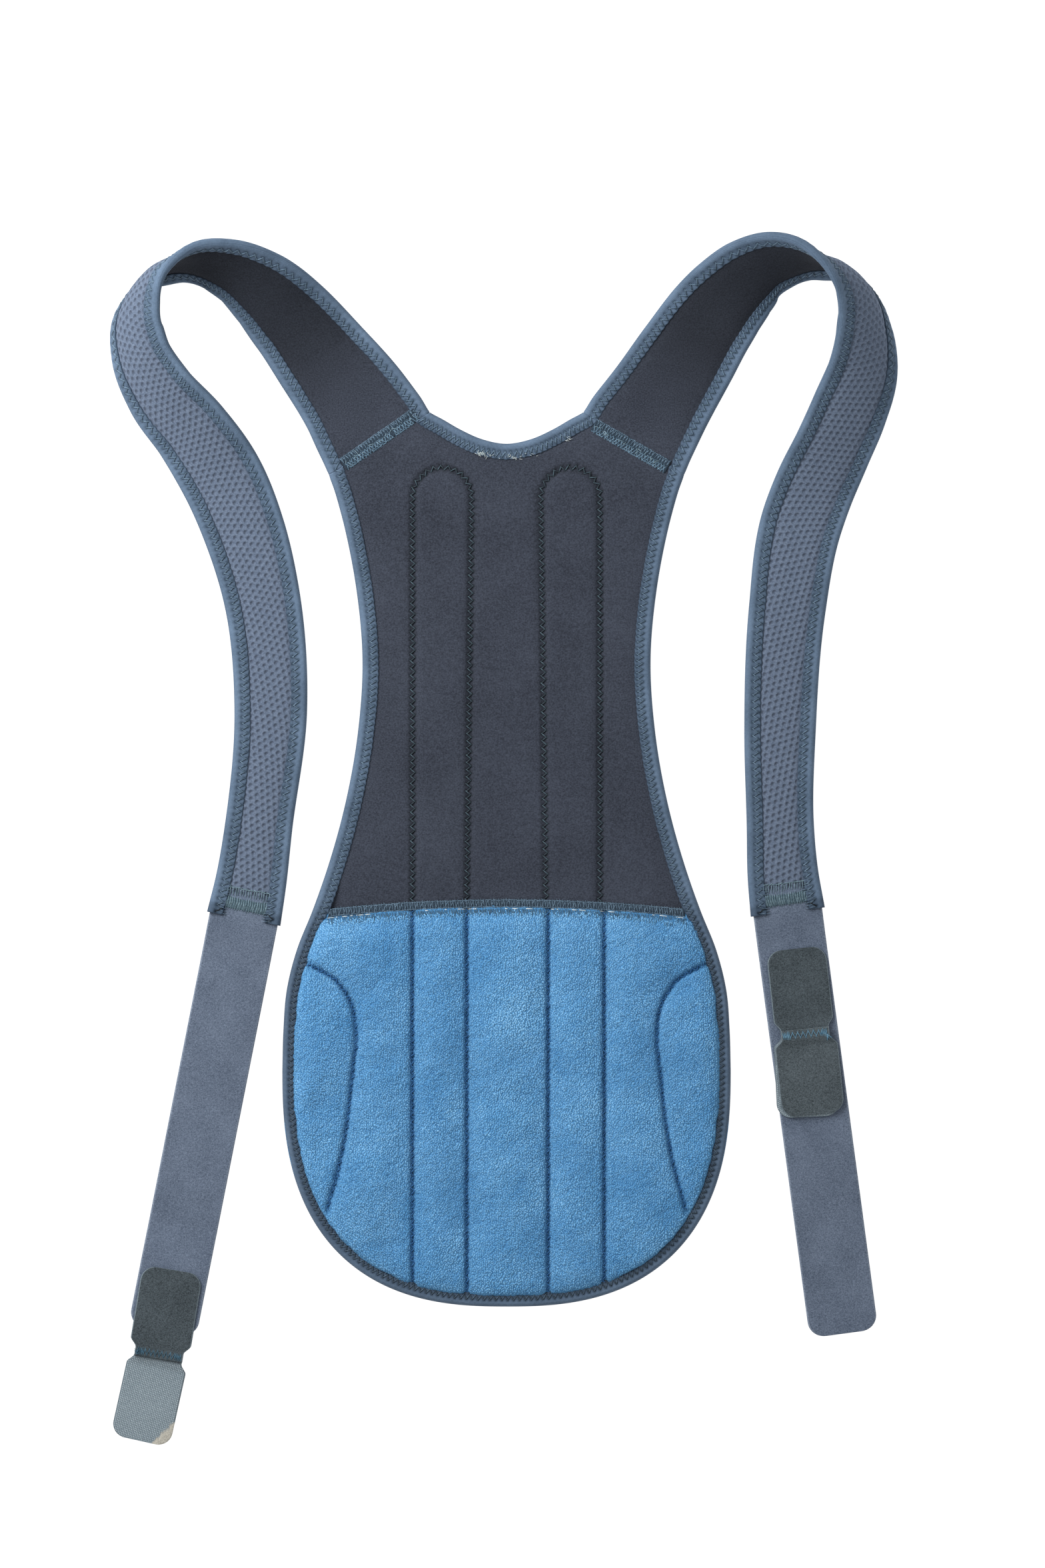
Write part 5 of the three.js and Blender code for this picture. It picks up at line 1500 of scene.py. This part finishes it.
def tab_seam(name, jaw, neck, end, pitch, thread, seed):
    """Zigzag across a tab's neck, dense at its two ends, with a few loose threads."""
    random = np.random.default_rng(SEED + seed)
    neck, way, aside, _ = line_between(neck, end)
    reach, dense, close, tall = LEAF_NECK / 2 - 1.0, 4, 0.45, 3.2
    run = np.concatenate([np.arange(-reach, -reach + dense, close),
                          np.arange(-reach + dense, reach - dense, pitch / 2),
                          np.arange(reach - dense, reach, close)])
    swing = np.where(np.arange(len(run)) % 2, 0.5, -0.5) * tall + random.normal(0, 0.15, len(run))
    holes = neck + run[:, None] * aside + (0.6 + swing)[:, None] * way
    surface = upper_surface(jaw)
    level = np.maximum(surface(holes), surface([neck + way]).max() - 0.6) + 0.1
    at = lifted(holes, level)
    sew(f"{name}_tab_zigzag", legs_through(at, np.tile((0.0, 0, 1), (len(at), 1))), thread, thickness=0.42)
    loose = (9, 3)
    tuft = at[-1] + np.array([0, 0, 0.2]) + random.normal(0, 0.25, loose)
    ends = tuft + random.normal(0, 0.8, loose) * (1, 1, 0.3) + np.append(way * 1.2, 0)
    sew(f"{name}_tab_loose_threads", legs_between(tuft, ends), thread, thickness=0.3)


# Stage


def stage():
    """White table, soft light from the upper left, camera straight above, in metres."""
    scene = bpy.context.scene
    reach, below = 6.0, -0.0005
    mesh = bpy.data.meshes.new("table")
    corners = [(-reach, -reach, below), (reach, -reach, below), (reach, reach, below), (-reach, reach, below)]
    mesh.from_pydata(corners, [], [(0, 1, 2, 3)])
    table = placed("table", mesh)
    # White paper that glows a little, so that it stays white round the brace
    paper = bpy.data.materials.new("white_paper")
    paper.use_nodes = True
    shader = paper.node_tree.nodes["Principled BSDF"]
    shader.inputs["Base Color"].default_value = (0.1, 0.1, 0.1, 1)
    shader.inputs["Roughness"].default_value = 0.9
    shader.inputs["Emission Color"].default_value = (1, 1, 1, 1)
    shader.inputs["Emission Strength"].default_value = 0.98
    mesh.materials.append(paper)

    world = bpy.data.worlds.new("studio")
    scene.world = world
    world.use_nodes = True
    world.node_tree.nodes["Background"].inputs["Color"].default_value = (1, 1, 1, 1)
    world.node_tree.nodes["Background"].inputs["Strength"].default_value = 0.52
    lamp = bpy.data.lights.new("softbox", "AREA")
    lamp.size = 0.9
    lamp.energy = 20.5
    holder = placed("softbox", lamp)
    holder.location = (-0.85, 0.75, 0.85)
    aim = Vector((0, 0.03, 0)) - holder.location
    holder.rotation_euler = aim.to_track_quat("-Z", "Y").to_euler()

    distance, seen = 3.0, 0.89376  # height of the camera, and how tall a part of the table it sees
    camera = bpy.data.cameras.new("camera")
    camera.sensor_width = 36.0
    camera.lens = camera.sensor_width * distance / seen
    camera.clip_end = 20
    eye = placed("camera", camera)
    eye.location = (0.0091, 0.0547, distance)
    scene.camera = eye
    scene.view_settings.view_transform = "Standard"


stage()
edge_bindings()
back_panel()
pad = lumbar_pad()
for name, rows, side, seed in (("left", LEFT_STRAP, -1, 13), ("right", RIGHT_STRAP, 1, 15)):
    ribbon = strap_ribbon(rows, side)
    strap_padding(f"{name}_padded_strap", ribbon, f"{name}_strap", side)
    strap_binding(f"{name}_neck_edge", ribbon, 1, f"{name}_strap_neck_binding", seed, butted=False)
    strap_binding(f"{name}_arm_edge", ribbon, -1, f"{name}_strap_arm_binding", seed + 1, butted=side < 0)
    strap_end(f"{name}_strap", ribbon, seed + 40)
shoulder_seam("left_shoulder", (-92.3, 237.1), (-52.0, 265.2), seed=51)
shoulder_seam("right_shoulder", (91.2, 235.6), (50.5, 258.8), seed=52)
pad_top(pad, seed=53)
quilting(pad, seed=54)
terry_loops(pad)
fluff("scoop_fluff", [((-14.5, 242.7, 5.1), 40, 1.1), ((-9, 241.8, 5.1), 8, 2), ((3.8, 240.9, 5.1), 20, 3.0),
                      ((13, 242.4, 5.1), 6, 3), ((36.1, 250.8, 5.1), 7, 1.4)], seed=55)

loop_tape("left_loop_tape", (-149.7, -22), (-196.2, -257),
          [(-7.7, 1.8), (1, 1.8), (24, 0), (178, 0), (200, LEVEL), (300, LEVEL)], "left_tape")
loop_tape("right_loop_tape", (160.2, -18.2), (192.3, -258.4), [(-7.7, 1.8), (1, 1.8), (18, 0), (300, 0)],
          "right_tape")
LEFT_TAB = {"jaw": (-190, -221.9), "neck": (-198.1, -270.4), "tail": (-209, -319.6)}
RIGHT_TAB = {"tail": (164.7, -39.1), "neck": (170, -87), "front": (174.8, -133.4), "back": (172.2, -134.8)}
leaves = {}
for node, neck, end, width, neck_z, free_z, materials, slot, under in (
    ("left_tab_back_jaw", LEFT_TAB["neck"], LEFT_TAB["jaw"], 34.7, 0, 0, [HOOKS, FELT], "felt", "table"),
    ("left_tab_tail", LEFT_TAB["neck"], LEFT_TAB["tail"], 34.4, LEVEL, 0, [HOOKS, FELT], "hook", "table"),
    ("left_tab_front_jaw", LEFT_TAB["neck"], LEFT_TAB["jaw"], 34.7, 2 * LEVEL, LEVEL + TAPE_LEVEL, [FELT, HOOKS],
     "felt", "left_tape"),
    ("right_tab_back_jaw", RIGHT_TAB["neck"], RIGHT_TAB["back"], 36, TAPE_LEVEL, TAPE_LEVEL, [HOOKS, FELT], "felt",
     "right_tape"),
    ("right_tab_tail", RIGHT_TAB["neck"], RIGHT_TAB["tail"], 34, TAPE_LEVEL + LEVEL, TAPE_LEVEL, [FELT, HOOKS],
     "felt", "right_tape"),
    ("right_tab_front_jaw", RIGHT_TAB["neck"], RIGHT_TAB["front"], 36, TAPE_LEVEL + 2 * LEVEL, TAPE_LEVEL + LEVEL,
     [RIGHT_FELT, HOOKS], "felt", "right_tab_back_jaw"),
):
    leaves[node] = tab_leaf(f"{node}_leaf", neck, end, width, neck_z, free_z, materials, slot, node)
peel(leaves["left_tab_tail"])
hooked("left_tail_hooks", leaves["left_tab_tail"], [leaves["left_tab_front_jaw"]],
       LEFT_TAB["neck"], LEFT_TAB["tail"], bare=True)
hooked("right_jaw_hooks", leaves["right_tab_back_jaw"], [leaves["right_tab_front_jaw"], leaves["right_tab_tail"]],
       RIGHT_TAB["neck"], RIGHT_TAB["back"], bare=False)
tab_seam("left", leaves["left_tab_front_jaw"], LEFT_TAB["neck"], LEFT_TAB["jaw"],
         pitch=2.4, thread=TAB_TEAL, seed=71)
tab_seam("right", leaves["right_tab_front_jaw"], RIGHT_TAB["neck"], RIGHT_TAB["front"],
         pitch=3.0, thread=TAB_BLUE, seed=72)
